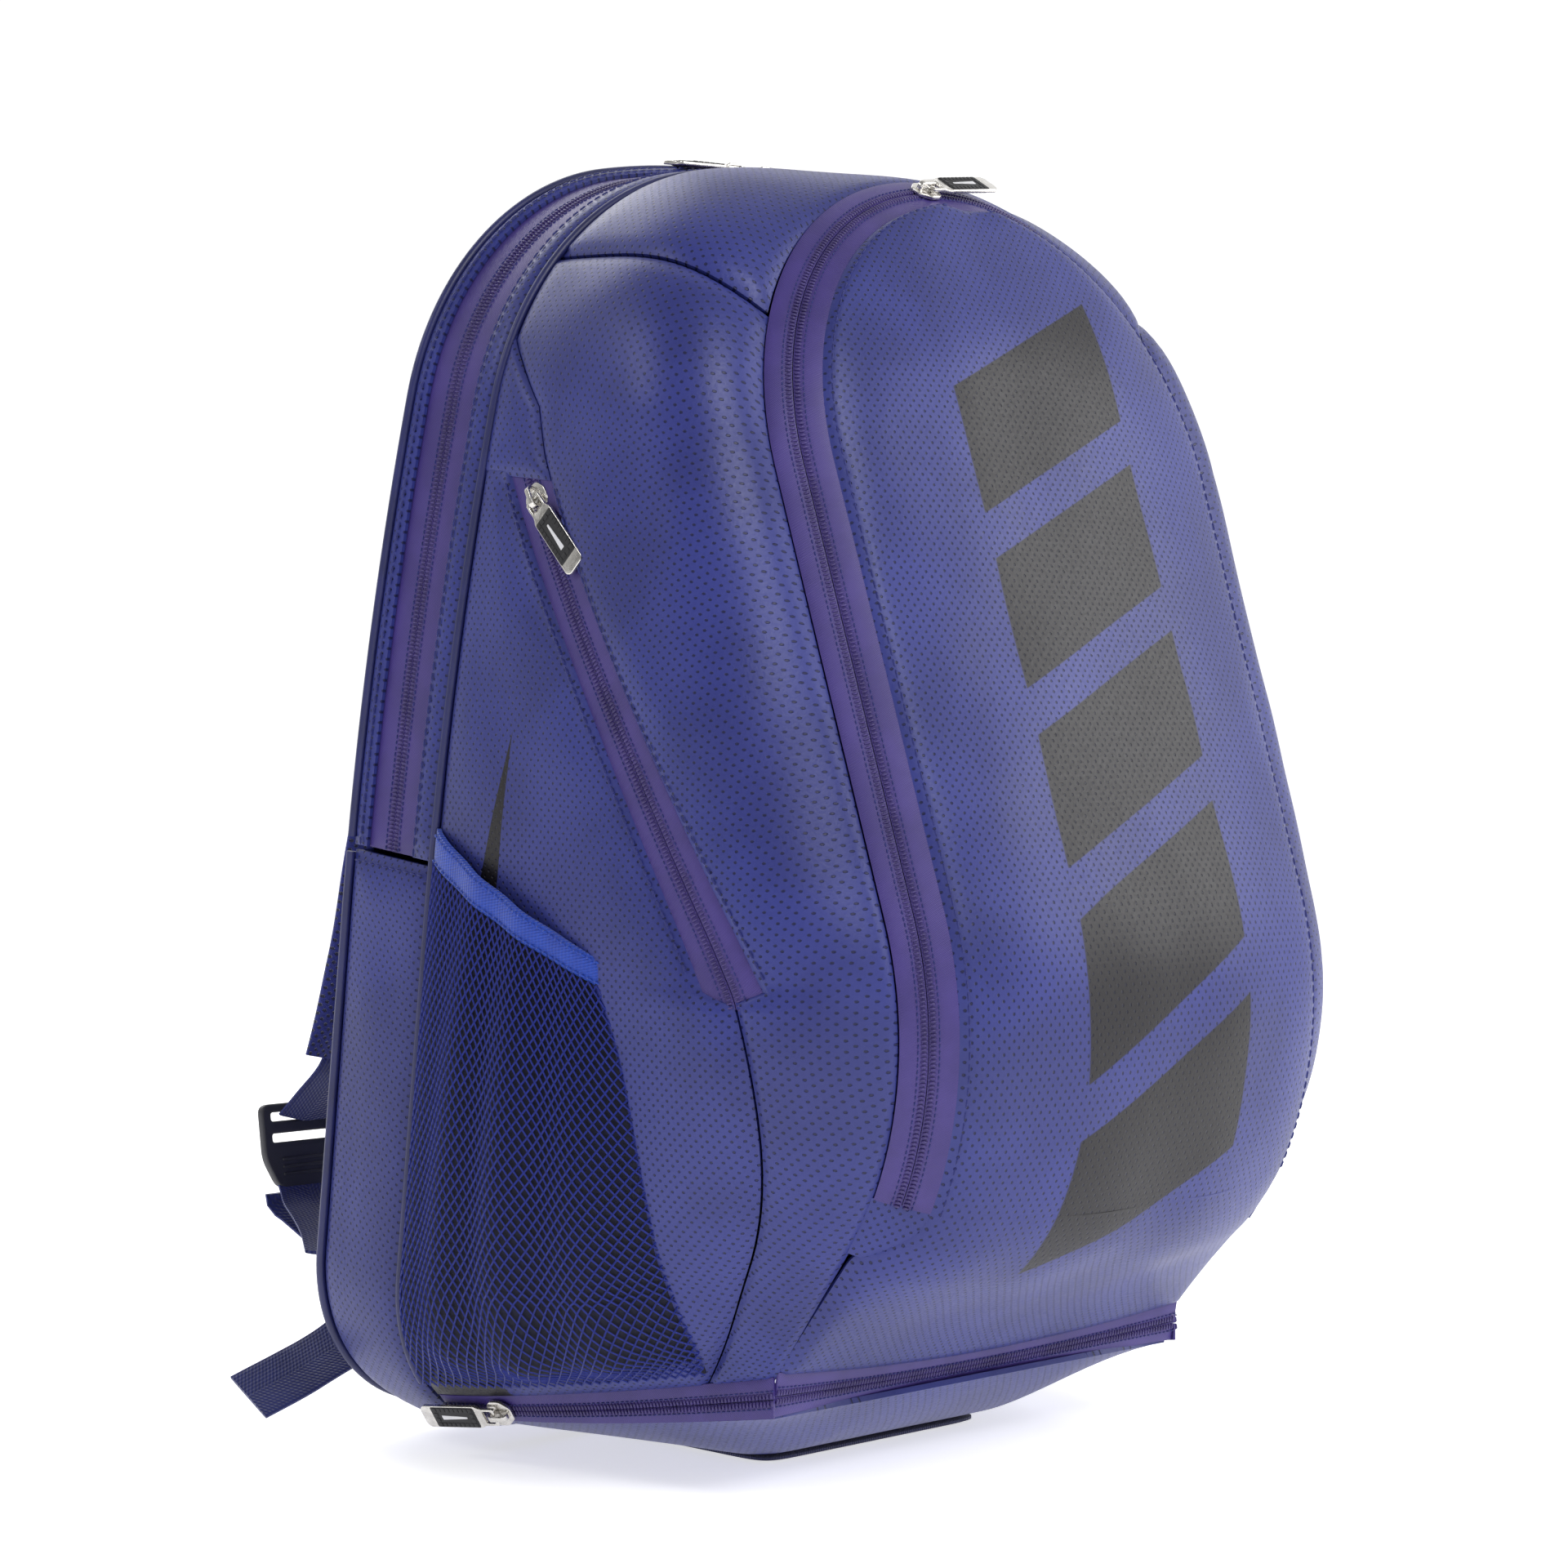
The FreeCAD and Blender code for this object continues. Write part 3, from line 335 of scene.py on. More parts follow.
def panel(name, place, size, materials, puff=2.0, tuck=1.2, seam=6.0, thick=SKIN, sides="0123",
          unevenness=0.4, uv=None):
    """Padded panel: bulges between its sewn edges, which turn in to the seams."""
    rows, columns = size
    base = grid(place, rows, columns)
    normals, turned = grid_normals(base)
    distance = edge_distance(base, sides)
    rise = puff * (1 - np.exp(-distance / seam)) - tuck * np.exp(-(distance / 1.8) ** 2)
    rise += unevenness * ripple(base, 38) * np.minimum(1, distance / 15)
    outer = base + normals * rise[..., None]
    inner = base - normals * (thick - 0.3 * rise[..., None])
    if uv is None:
        flat = np.stack([line_distance(base, 1), line_distance(base, 0)], axis=2)
    else:
        flat = grid(uv, rows, columns)
    return thick_sheet(name, outer, inner, flat, materials, turned)


def place_copies(name, template, faces, frames, material):
    """One mesh of many copies of a small template, each with its own origin and axes."""
    template = np.asarray(template, float)
    origins, axes = frames
    points = np.einsum("nij,kj->nki", axes, template) + origins[:, None, :]
    count = len(template)
    all_faces = np.concatenate([np.asarray(faces) + count * k for k in range(len(origins))])
    uvs = np.tile(template[:, :2], (len(origins), 1))
    return make_mesh(name, points.reshape(-1, 3), all_faces, uvs, [material], sharp=80)


def ring_faces(rings, count):
    """Quads between closed rings of points, each ring after the one before."""
    faces = []
    for k in range(rings - 1):
        for m in range(count):
            a = k * count + m
            b = k * count + (m + 1) % count
            faces.append((a, b, b + count, a + count))
    return faces


def tube_faces(rings, count):
    """Ring faces with both ends closed."""
    first = tuple(reversed(range(count)))
    last = tuple(range((rings - 1) * count, rings * count))
    return ring_faces(rings, count) + [first, last]


def lozenge(length, width, height, taper=0.55):
    """A small rounded bump: a low box whose top and ends are drawn in."""
    rings = ((-0.5, 0.45, 0.25), (-0.3, 1.0, 1.0), (0.3, 1.0, 1.0), (0.5, 0.45, 0.25))
    points = []
    for x, wide, high in rings:
        for y, z in ((-0.5, -0.3), (-0.5 * taper, 1.0), (0.5 * taper, 1.0), (0.5, -0.3)):
            points.append((x * length, y * width * wide, z * height * (high if z > 0 else 1)))
    return points, tube_faces(4, 4)


def path_frames(points, normals, pitch):
    """Origins and axes (along, side, up as columns) at even steps along a polyline."""
    points = np.asarray(points, float)
    steps = np.linalg.norm(np.diff(points, axis=0), axis=1)
    run = np.concatenate([[0], np.cumsum(steps)])
    at = np.arange(pitch / 2, run[-1], pitch)
    origins = np.stack([np.interp(at, run, points[:, k]) for k in range(3)], axis=1)
    ups = np.stack([np.interp(at, run, np.asarray(normals)[:, k]) for k in range(3)], axis=1)
    ahead = np.stack([np.interp(at + 0.6, run, points[:, k]) for k in range(3)], axis=1)
    behind = np.stack([np.interp(at - 0.6, run, points[:, k]) for k in range(3)], axis=1)
    forward = ahead - behind
    forward /= np.linalg.norm(forward, axis=1, keepdims=True) + 1e-12
    side = np.cross(ups, forward)
    side /= np.linalg.norm(side, axis=1, keepdims=True) + 1e-12
    up = np.cross(forward, side)
    return origins, np.stack([forward, side, up], axis=2)


def surface_path(place, steps):
    """Points and outward normals along place(a, offset): offset is used for the normal."""
    points = np.array([place(k / steps, 0.0) for k in range(steps + 1)])
    beside = np.array([place(k / steps, 1.0) for k in range(steps + 1)])
    normals = np.cross(np.gradient(points, axis=0), beside - points)
    normals /= np.linalg.norm(normals, axis=1, keepdims=True) + 1e-12
    if np.sum(normals * (points - CENTRE)) < 0:
        normals = -normals
    return points, normals


def bump_row(name, line, steps, size, pitch, material, body, lift=0.0):
    """A row of small bumps at an even pitch along line(a, offset)."""
    points, normals = surface_path(line, steps)
    template, faces = lozenge(*size)
    frames = path_frames(points + normals * lift, normals, pitch)
    thing = place_copies(name, template, faces, frames, material)
    return piece(thing, body, ())


def stitches(name, line, steps, body, length=3.0, gap=1.1, lift=0.25, material=None):
    """A row of thread stitches along line(a, offset)."""
    return bump_row(name, line, steps, (length, 0.75, 0.45), length + gap, material or THREAD,
                    body, lift)


def spline(points, step):
    """Smooth line through points (Catmull-Rom), sampled about every step."""
    points = [np.array(p, float) for p in points]
    ends = [2 * points[0] - points[1]] + points + [2 * points[-1] - points[-2]]
    line = []
    for a, b, c, d in zip(ends, ends[1:], ends[2:], ends[3:]):
        count = max(2, int(np.linalg.norm(c - b) / step))
        for k in range(count):
            t = k / count
            line.append(0.5 * (2 * b + (c - a) * t + (2 * a - 5 * b + 4 * c - d) * t ** 2
                               + (3 * b - a - 3 * c + d) * t ** 3))
    return np.array(line + [points[-1]])


def loft(name, route, side, section, material):
    """Closed section carried along a route; side gives the section's x direction at a share."""
    route = np.asarray(route, float)
    forward = np.gradient(route, axis=0)
    forward /= np.linalg.norm(forward, axis=1, keepdims=True)
    run = np.concatenate([[0], np.cumsum(np.linalg.norm(np.diff(route, axis=0), axis=1))])
    rings = []
    uvs = []
    for k, point in enumerate(route):
        share = run[k] / run[-1]
        x_axis = np.array(side(share), float)
        x_axis -= forward[k] * x_axis.dot(forward[k])
        x_axis /= np.linalg.norm(x_axis)
        y_axis = np.cross(forward[k], x_axis)
        shape = section(share)
        rings.append([point + x_axis * x + y_axis * y for x, y in shape])
        uvs.append([(x, run[k]) for x, y in shape])
    count = len(rings[0])
    return make_mesh(name, np.array(rings).reshape(-1, 3), tube_faces(len(rings), count),
                     np.array(uvs).reshape(-1, 2), [material])


def rounded_section(width, depth, points, power):
    """Superellipse outline."""
    shape = []
    for k in range(points):
        angle = 2 * math.pi * (k + 0.5) / points
        c, s = math.cos(angle), math.sin(angle)
        shape.append((width / 2 * math.copysign(abs(c) ** (2 / power), c),
                      depth / 2 * math.copysign(abs(s) ** (2 / power), s)))
    return shape


def piece(thing, body, nodes):
    """Ride on a body and stand for CAD nodes."""
    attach(thing, body)
    if nodes:
        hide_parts(*nodes)
    return thing


# --- materials ------------------------------------------------------------------------------

NOISE_ROUGHNESS = 0.55

def srgb(red, green, blue):
    """Linear colour from 0-255 values."""
    linear = [((c / 255 + 0.055) / 1.055) ** 2.4 if c > 10 else c / 255 / 12.92
              for c in (red, green, blue)]
    return (*linear, 1.0)


class Shader:
    """A Principled material and short ways to add nodes to it."""

    def __init__(self, name, **sockets):
        self.material = bpy.data.materials.new(name)
        self.material.use_nodes = True
        self.tree = self.material.node_tree
        self.surface = self.tree.nodes["Principled BSDF"]
        for socket, value in sockets.items():
            self.surface.inputs[socket.replace("_", " ")].default_value = value

    def add(self, kind, *inputs, **settings):
        node = self.tree.nodes.new("ShaderNode" + kind)
        for setting, value in settings.items():
            setattr(node, setting, value)
        for socket, value in zip(node.inputs, inputs):
            self.give(socket, value)
        return node

    def give(self, socket, value):
        if isinstance(value, bpy.types.NodeSocket):
            self.tree.links.new(value, socket)
        elif value is not None:
            socket.default_value = value

    def math(self, operation, a, b=None):
        return self.add("Math", a, b, operation=operation).outputs[0]

    def plus(self, a, b):
        return self.math("ADD", a, b)

    def minus(self, a, b):
        return self.math("SUBTRACT", a, b)

    def times(self, a, b):
        return self.math("MULTIPLY", a, b)

    def over(self, a, b):
        return self.math("DIVIDE", a, b)

    def wave(self, value, pitch):
        """Sine wave of a pitch in metres."""
        return self.math("SINE", self.times(value, 2 * math.pi / pitch))

    def mix(self, share, a, b):
        node = self.tree.nodes.new("ShaderNodeMix")
        node.data_type = "RGBA"
        self.give(node.inputs[0], share)
        self.give(node.inputs[6], a)
        self.give(node.inputs[7], b)
        return node.outputs[2]

    def ramp(self, value, low, high):
        """0 below low, 1 above high, smooth between."""
        node = self.add("MapRange", value, low, high, 0.0, 1.0, interpolation_type="SMOOTHSTEP")
        return node.outputs[0]

    def uv(self):
        out = self.add("UVMap", uv_map="UVMap").outputs[0]
        split = self.add("SeparateXYZ", out)
        return split.outputs[0], split.outputs[1]

    def noise(self, size, detail=3.0):
        """Noise with features of a size in metres."""
        place = self.add("TexCoord").outputs["Object"]
        node = self.add("TexNoise", place, noise_dimensions="3D")
        node.inputs["Scale"].default_value = 1.0 / size
        node.inputs["Detail"].default_value = detail
        node.inputs["Roughness"].default_value = NOISE_ROUGHNESS
        return node.outputs[0]

    def cloud(self, size, low=0.3, high=0.7):
        """Noise spread out to run from 0 to 1."""
        return self.ramp(self.noise(size), low, high)

    def bump(self, height, depth, before=None):
        """Bump of a depth in metres."""
        node = self.add("Bump")
        node.inputs["Strength"].default_value = 1.0
        node.inputs["Distance"].default_value = depth
        self.give(node.inputs["Height"], height)
        if before is not None:
            self.give(node.inputs["Normal"], before)
        return node.outputs[0]

    def finish(self, colour, rough, normal):
        for socket, value in (("Base Color", colour), ("Roughness", rough), ("Normal", normal)):
            self.give(self.surface.inputs[socket], value)
        return self.material


def dots(shader, u, v, across, down, radius):
    """1 inside the dots of a staggered lattice, 0 between them."""
    row = shader.math("FLOOR", shader.over(v, down))
    odd = shader.math("FLOORED_MODULO", row, 2.0)
    shifted = shader.plus(shader.over(u, across), shader.times(odd, 0.5))
    x = shader.times(shader.minus(shader.math("FRACT", shifted), 0.5), across)
    y = shader.math("FRACT", shader.over(v, down))
    y = shader.times(shader.minus(y, 0.5), down)
    far = shader.math("SQRT", shader.plus(shader.times(x, x),
                                          shader.times(y, y)))
    return shader.ramp(far, radius * 1.25, radius * 0.7)


LEATHER_BLUE = srgb(46, 53, 124)
LEATHER_SHADE = srgb(40, 46, 111)
# painted shade for the inside of the pricked holes
HOLE_SHADE = srgb(12, 13, 42)
PRINT_BLACK = srgb(17, 14, 20)


def leather(name, print_mask=None):
    """Satin leathercloth with a staggered lattice of pricked holes, painted shade inside them, and an
    optional print.
    """
    shader = Shader(name, Specular_IOR_Level=0.38, Coat_Weight=0.06, Coat_Roughness=0.3)
    u, v = shader.uv()
    holes = dots(shader, u, v, 0.0040, 0.0020, 0.00048)
    base = shader.mix(shader.cloud(0.05, 0.35, 0.65), LEATHER_BLUE, LEATHER_SHADE)
    if print_mask is not None:
        base = shader.mix(print_mask(shader, u, v), base, PRINT_BLACK)
    # painted shade inside the pricked holes
    base = shader.mix(shader.times(holes, 0.8), base, HOLE_SHADE)
    grain = shader.noise(0.0011, 4.0)
    rough = shader.add("MapRange", grain, 0.3, 0.7, 0.36, 0.5).outputs[0]
    normal = shader.bump(grain, 0.00012)
    normal = shader.bump(shader.times(holes, -1.0), 0.00035, normal)
    return shader.finish(base, rough, normal)


def front_bars(shader, u, v):
    """Print on the front: a column of slanted blocks."""
    slanted = shader.plus(v, shader.times(u, 0.45))
    step = shader.math("FRACT", shader.over(slanted, 0.066))
    middle = shader.math("ABSOLUTE", shader.minus(step, 0.5))
    bar = shader.ramp(middle, 0.375, 0.365)
    inside = shader.ramp(shader.math("ABSOLUTE", u), 0.0455, 0.0445)
    run = shader.ramp(slanted, 0.0660, 0.0664)
    stop = shader.ramp(slanted, 0.3962, 0.3958)
    return shader.times(shader.times(bar, inside),
                       shader.times(run, stop))


def side_bar(shader, u, v):
    """Print on the side wedge: one straight bar that tapers to its top."""
    low = shader.minus(u, 0.318)
    width = shader.times(low, 0.085)
    line = shader.plus(-0.006, shader.times(low, 0.20))
    far = shader.math("ABSOLUTE", shader.minus(v, line))
    inside = shader.math("LESS_THAN", far, width)
    return shader.times(inside, shader.math("GREATER_THAN", low, 0.0))


def woven(name, colour, shade, pitch, depth=0.00012, sheen=0.3):
    """Plain weave: threads over and under, darker between them as painted shade, with a little
    unevenness.
    """
    shader = Shader(name, Sheen_Weight=sheen, Sheen_Roughness=0.5)
    u, v = shader.uv()
    weave = shader.times(shader.wave(u, pitch), shader.wave(v, pitch))
    level = shader.plus(shader.times(weave, 0.5), 0.5)
    # colour follows the weave's height: painted shade between the threads, mixed with random tone
    hollow_shade_and_tone = shader.plus(shader.times(level, 0.5), shader.times(shader.cloud(0.012), 0.5))
    return shader.finish(shader.mix(hollow_shade_and_tone, shade, colour), 0.75, shader.bump(level, depth))


def ribbed(name, colour, shade, pitch=0.0016):
    """Webbing: ribs across the strap, each with a diagonal twill, darker in the grooves as painted
    shade.
    """
    shader = Shader(name, Sheen_Weight=0.35, Sheen_Roughness=0.4)
    u, v = shader.uv()
    slant = shader.plus(v, shader.times(shader.math("ABSOLUTE", u), 0.6))
    rib = shader.times(shader.wave(slant, pitch), 0.32)
    cord = shader.times(shader.wave(u, 0.0017), 0.18)
    level = shader.plus(shader.plus(rib, cord), 0.5)
    # colour follows the rib height: painted shade in the grooves, mixed with random tone
    hollow_shade_and_tone = shader.plus(shader.times(level, 0.7), shader.times(shader.cloud(0.008), 0.3))
    return shader.finish(shader.mix(hollow_shade_and_tone, shade, colour), 0.6, shader.bump(level, 0.0003))


def zip_tape(name):
    """Coated zip tape: smooth and slightly glossy, with the cords of its knit just showing, partly as
    painted shade between them.
    """
    shader = Shader(name, Specular_IOR_Level=0.4, Coat_Weight=0.1, Coat_Roughness=0.25)
    u, v = shader.uv()
    knit = shader.times(shader.wave(u, 0.0011), shader.wave(v, 0.0009))
    level = shader.times(shader.plus(knit, 1.0), 0.5)
    # colour follows the knit's height: painted shade in its hollows, mixed with random tone
    hollow_shade_and_tone = shader.plus(shader.times(level, 0.35), shader.times(shader.cloud(0.02), 0.65))
    colour = shader.mix(hollow_shade_and_tone, srgb(52, 40, 106), srgb(66, 52, 126))
    return shader.finish(colour, 0.42, shader.bump(level, 0.00008))


def spacer_mesh(name, colour, shade):
    """Air mesh: small round holes in a soft knit, with painted shade inside them."""
    shader = Shader(name, Sheen_Weight=0.5, Sheen_Roughness=0.5)
    u, v = shader.uv()
    holes = dots(shader, u, v, 0.0036, 0.0018, 0.0006)
    fuzz = shader.noise(0.0006, 2.0)
    base = shader.mix(shader.ramp(fuzz, 0.3, 0.7), shade, colour)
    # near-black colour in the holes is painted shade
    base = shader.mix(shader.times(holes, 0.85), base, srgb(10, 12, 40))
    normal = shader.bump(shader.times(holes, -1.0), 0.0008)
    return shader.finish(base, 0.85, shader.bump(fuzz, 0.0002, normal))


def yarn(name, colour, shade):
    """Thread or net yarn with a fine twist."""
    shader = Shader(name, Sheen_Weight=0.12, Sheen_Roughness=0.4, Specular_IOR_Level=0.3)
    fibre = shader.noise(0.0005, 2.0)
    colour = shader.mix(shader.ramp(fibre, 0.3, 0.7), shade, colour)
    return shader.finish(colour, 0.55, shader.bump(fibre, 0.0001))


def nickel(name):
    """Plated zinc with faint casting marks and uneven roughness."""
    shader = Shader(name, Metallic=1.0)
    marks = shader.noise(0.004, 4.0)
    colour = shader.mix(shader.ramp(marks, 0.35, 0.7), (0.62, 0.60, 0.57, 1), (0.78, 0.76, 0.72, 1))
    rough = shader.add("MapRange", shader.noise(0.0012, 2.0), 0.3, 0.7, 0.16, 0.32).outputs[0]
    return shader.finish(colour, rough, shader.bump(marks, 0.00004))


def moulded(name, colour, shade, rough, grain=0.0008):
    """Moulded plastic or rubber with a fine spark texture."""
    shader = Shader(name)
    colour = shader.mix(shader.cloud(0.02), shade, colour)
    return shader.finish(colour, rough, shader.bump(shader.noise(grain), 0.00006))


LEATHER = leather("leather")
LEATHER_FRONT = leather("leather_front", print_mask=front_bars)
LEATHER_SIDE = leather("leather_side", print_mask=side_bar)
LEATHER_BINDING = moulded("leather_binding", srgb(32, 36, 92), srgb(26, 30, 78), 0.42)
THREAD = yarn("thread", srgb(40, 46, 116), srgb(30, 34, 90))
TAPE = zip_tape("zip_tape")
COIL = moulded("zip_coil", srgb(62, 48, 114), srgb(48, 36, 92), 0.4, 0.0004)
NET = yarn("pocket_net", srgb(14, 34, 130), srgb(9, 24, 104))
# near-black sheet under the pocket net: painted shade of the pocket's inside
NET_SHADE_SHEET = woven("pocket_painted_shade", srgb(4, 8, 44), srgb(3, 5, 30), 0.0007, sheen=0.0)
ELASTIC = ribbed("elastic", srgb(8, 66, 178), srgb(5, 46, 146), 0.0011)
WEBBING = ribbed("webbing", srgb(26, 38, 112), srgb(16, 24, 82))
AIR_MESH = spacer_mesh("air_mesh", srgb(36, 46, 132), srgb(26, 34, 108))
LINING = woven("lining", srgb(52, 54, 84), srgb(40, 42, 68), 0.0008)
BASE_CLOTH = woven("base_cloth", srgb(36, 38, 84), srgb(28, 30, 68), 0.0012, 0.0002)
METAL = nickel("nickel")
RUBBER = moulded("rubber", srgb(26, 26, 30), srgb(16, 16, 20), 0.55)
PLASTIC = moulded("buckle", srgb(50, 50, 58), srgb(38, 38, 46), 0.45)
BOARD = moulded("board", srgb(54, 54, 60), srgb(42, 42, 48), 0.6)
MARK = moulded("pull_mark", srgb(225, 225, 228), srgb(205, 205, 210), 0.5)


# --- the rear unit ----------------------------------------------------------------------------

def shell_panel(name, place, size, body, nodes, outside, **shape):
    """Panel of the shell: leathercloth outside, lining inside."""
    thing = panel(name, place, size, [outside, LINING], **shape)
    return piece(thing, body, nodes)


def rear_band(name, s0, s1, depth0, depth1, inset, body, nodes, material, **shape):
    """Strip of the rear unit from arc length s0 to s1, between two depths."""
    columns = max(4, int((depth1 - depth0) / 2.2))
    rows = int((s1 - s0) / 5)

    def place(a, b):
        return rear_arch(s0 + (s1 - s0) * a, depth0 + (depth1 - depth0) * b, inset)
    return shell_panel(name, place, (rows, columns), body, nodes, material, **shape)


def zip_row(name, at, rows, reach, way, body, nodes=()):
    """One half of a zip: tape from the middle outwards, the coil under its edge, a sewn row."""
    start = way * ZIP_GAP / 2

    def tape(a, b):
        return at(a, start + (way * reach - start) * b, 0.0)
    thing = panel(name, tape, (rows, 8), [TAPE], puff=0.5, tuck=0.0, seam=2.0, thick=0.9,
                  unevenness=0.05)
    piece(thing, body, nodes)
    for part, distance, rise, size, pitch, material in (
            ("coil", 1.5, 0.45, (0.95, 2.3, 0.5, 0.7), 1.5, COIL),
            ("seam", 3.6, 0.5, (1.5, 0.5, 0.3), 2.2, THREAD)):
        def line(a, offset):
            return at(a, start + way * distance + offset, rise)
        bump_row(f"{name}_{part}", line, rows, size, pitch, material, body)


def make_rear_unit():
    end = ZIP_CUT - 1
    rear_band("front_strip", -end, end, 0.3, FRONT_STRIP, 0, "main_body", ["gusset_strip_front"],
              LEATHER, puff=1.4, tuck=0.8, seam=3, thick=1.8, unevenness=0.2)
    rear_band("rear_strip", -end, end, REAR_DEPTH - REAR_STRIP, REAR_DEPTH, 0, "back_flap",
              ["gusset_strip_rear"], LEATHER, puff=1.2, tuck=0.6, seam=2.5, thick=1.8,
              unevenness=0.15)
    middle = (FRONT_STRIP + REAR_DEPTH - REAR_STRIP) / 2
    reach = (REAR_DEPTH - FRONT_STRIP - REAR_STRIP) / 2 + 2.5

    def at(a, offset, rise):
        return rear_arch(-end + 2 * end * a, middle + offset, STRIP_SKIN + 0.4 - rise)
    zip_row("main_zip_front", at, 300, reach, -1, "main_body", ["main_zip_front_tape"])
    zip_row("main_zip_rear", at, 300, reach, 1, "back_flap", ["main_zip_rear_tape"])
    for name, depth, body in (("front_strip_stitch", FRONT_STRIP - 2.4, "main_body"),
                              ("rear_strip_stitch", REAR_DEPTH - REAR_STRIP + 2, "back_flap")):
        def line(a, offset, at_depth=depth):
            return rear_arch(-end + 2 * end * a, at_depth + offset, -0.75)
        stitches(name, line, 320, body)
    rear_band("gusset", ZIP_CUT + 1, 2 * REAR_LENGTH - ZIP_CUT - 1, 0.3, REAR_DEPTH - 0.3, 0,
              "main_body", ["lower_gusset"], LEATHER, puff=2.6, tuck=1.0, seam=8, unevenness=0.7)
    for name, side in SIDES:
        def cross(a, offset, s=side):
            return rear_arch(s * (ZIP_CUT + 4.5 + offset), 2 + (REAR_DEPTH - 4) * a, -1.4)
        stitches(f"gusset_stitch_{name}", cross, 12, "main_body")


def along_depth(_share):
    """Sections of beads and of the handle are squared up with the bag's depth."""
    return (0, 1, 0)


def binding(name, route, size, body, nodes=()):
    """Round bead of leather along a seam."""
    section = rounded_section(size, size, 10, 2.0)
    bead = loft(name, route, along_depth, lambda share: section, LEATHER_BINDING)
    return piece(bead, body, nodes)


def make_piping():
    """Beads in the seams before and behind the rear unit."""
    step = 1.97 / 300
    before = [wall_point(-0.985 + step * k, 0.0) + np.array([0, -0.9, 0]) for k in range(301)]
    binding("piping", before, 3.4, "main_body", ["piping"])
    end = length_at(14)
    around = [rear_arch(-end + 2 * end * k / 300, REAR_DEPTH + 1.0, -0.2) for k in range(301)]
    binding("rear_binding", [p for p in around if p[2] > ZIP_END_HEIGHT + 4], 3.6, "back_flap")
    start = ZIP_CUT + 2
    span = 2 * REAR_LENGTH - 2 * ZIP_CUT - 4
    low = [rear_arch(start + span * k / 200, REAR_DEPTH + 1.0, -0.2) for k in range(201)]
    binding("lower_binding", low, 3.6, "main_body")


# --- flat and padded slabs of the back ----------------------------------------------------------

def resample(outline, count):
    """Even points along a closed outline."""
    points = np.array(outline + outline[:1], float)
    run = np.concatenate([[0], np.cumsum(np.linalg.norm(np.diff(points, axis=0), axis=1))])
    at = np.linspace(0, run[-1], count, endpoint=False)
    return np.stack([np.interp(at, run, points[:, k]) for k in range(2)], axis=1)


SMOOTHING_PER_MM = 6


def rounded(outline, radius):
    """Outline with its corners rounded by repeated averaging."""
    points = resample(outline, 240)
    for _ in range(int(SMOOTHING_PER_MM * radius)):
        points = (np.roll(points, 1, axis=0) + points + np.roll(points, -1, axis=0)) / 3
    return points


def pillow(name, outline, depth, height, material, power, rings=16, relief=None):
    """Slab on the rear unit: outline (x, height), its face domed back from a depth."""
    centre = outline.mean(axis=0)
    count = len(outline)
    points = []
    uvs = []
    for k in range(rings + 1):
        share = 1 - (k / rings) ** 1.6
        lift = height * (1 - share ** (2 * power)) ** (1 / 2.2)
        for x, y in outline:
            at = centre + (np.array([x, y]) - centre) * share
            extra = relief(at[0], at[1]) * min(1.0, lift / height) if relief else 0.0
            points.append(rear_point(at[0], at[1], depth + lift + extra))
            uvs.append(at)
    base = len(points)
    for x, y in outline:
        points.append(rear_point(x, y, depth))
        uvs.append((x, y))
    faces = ring_faces(rings, count)
    last = (rings - 1) * count
    tip = rings * count
    for m in range(count):
        faces.append((last + m, last + (m + 1) % count, tip))
    for m in range(count):
        b = (m + 1) % count
        faces.append((m, base + m, base + b, b))
    faces.append(tuple(base + m for m in range(count)))
    thing = make_mesh(name, points, faces, uvs, [material], sharp=60)
    tidy_mesh(thing)
    return thing


def tidy_mesh(thing):
    """Drop loose points and make the faces point outwards."""
    work = bmesh.new()
    work.from_mesh(thing.data)
    bmesh.ops.delete(work, geom=[v for v in work.verts if not v.link_faces], context="VERTS")
    bmesh.ops.remove_doubles(work, verts=work.verts, dist=0.00002)
    bmesh.ops.recalc_face_normals(work, faces=work.faces)
    work.to_mesh(thing.data)
    work.free()


def arch_outline(low, high, inset):
    """Outline of the rear arch between two heights, as (x, height)."""
    top = 0.0 if high is None else length_at(high)
    bottom = REAR_LENGTH if low is None else length_at(low)
    right = [track_point(REAR, top + (bottom - top) * k / 80, inset)[:2] for k in range(81)]
    left = [(-x, y) for x, y in reversed(right)]
    outline = right + left
    cleaned = [outline[0]]
    for point in outline[1:]:
        if math.dist(point, cleaned[-1]) > 0.5:
            cleaned.append(point)
    if math.dist(cleaned[0], cleaned[-1]) < 0.5:
        cleaned.pop()
    return cleaned


def channels(x, height):
    """Depth of the sewn channels, which slope to the middle of the back."""
    slope = height - 0.35 * abs(x)
    groove = abs((slope / CHANNEL_PITCH) % 1.0 - 0.5) * CHANNEL_PITCH
    return -3.2 * math.exp(-((CHANNEL_PITCH / 2 - groove) / 2.6) ** 2)


def back_slab(name, outline, depth, height, material, body, node):
    slab = pillow(name, outline, depth, height, material, 14)
    return piece(slab, body, [node])


def back_pad(name, outline, body, node):
    """Air mesh over foam, sewn down along its channels."""
    level = REAR_DEPTH + BACK_PANEL - 0.6
    pad = pillow(name, rounded(outline, 7), level, PAD_SKIN - 1.5, AIR_MESH, 7, rings=44,
                 relief=channels)
    return piece(pad, body, [node])


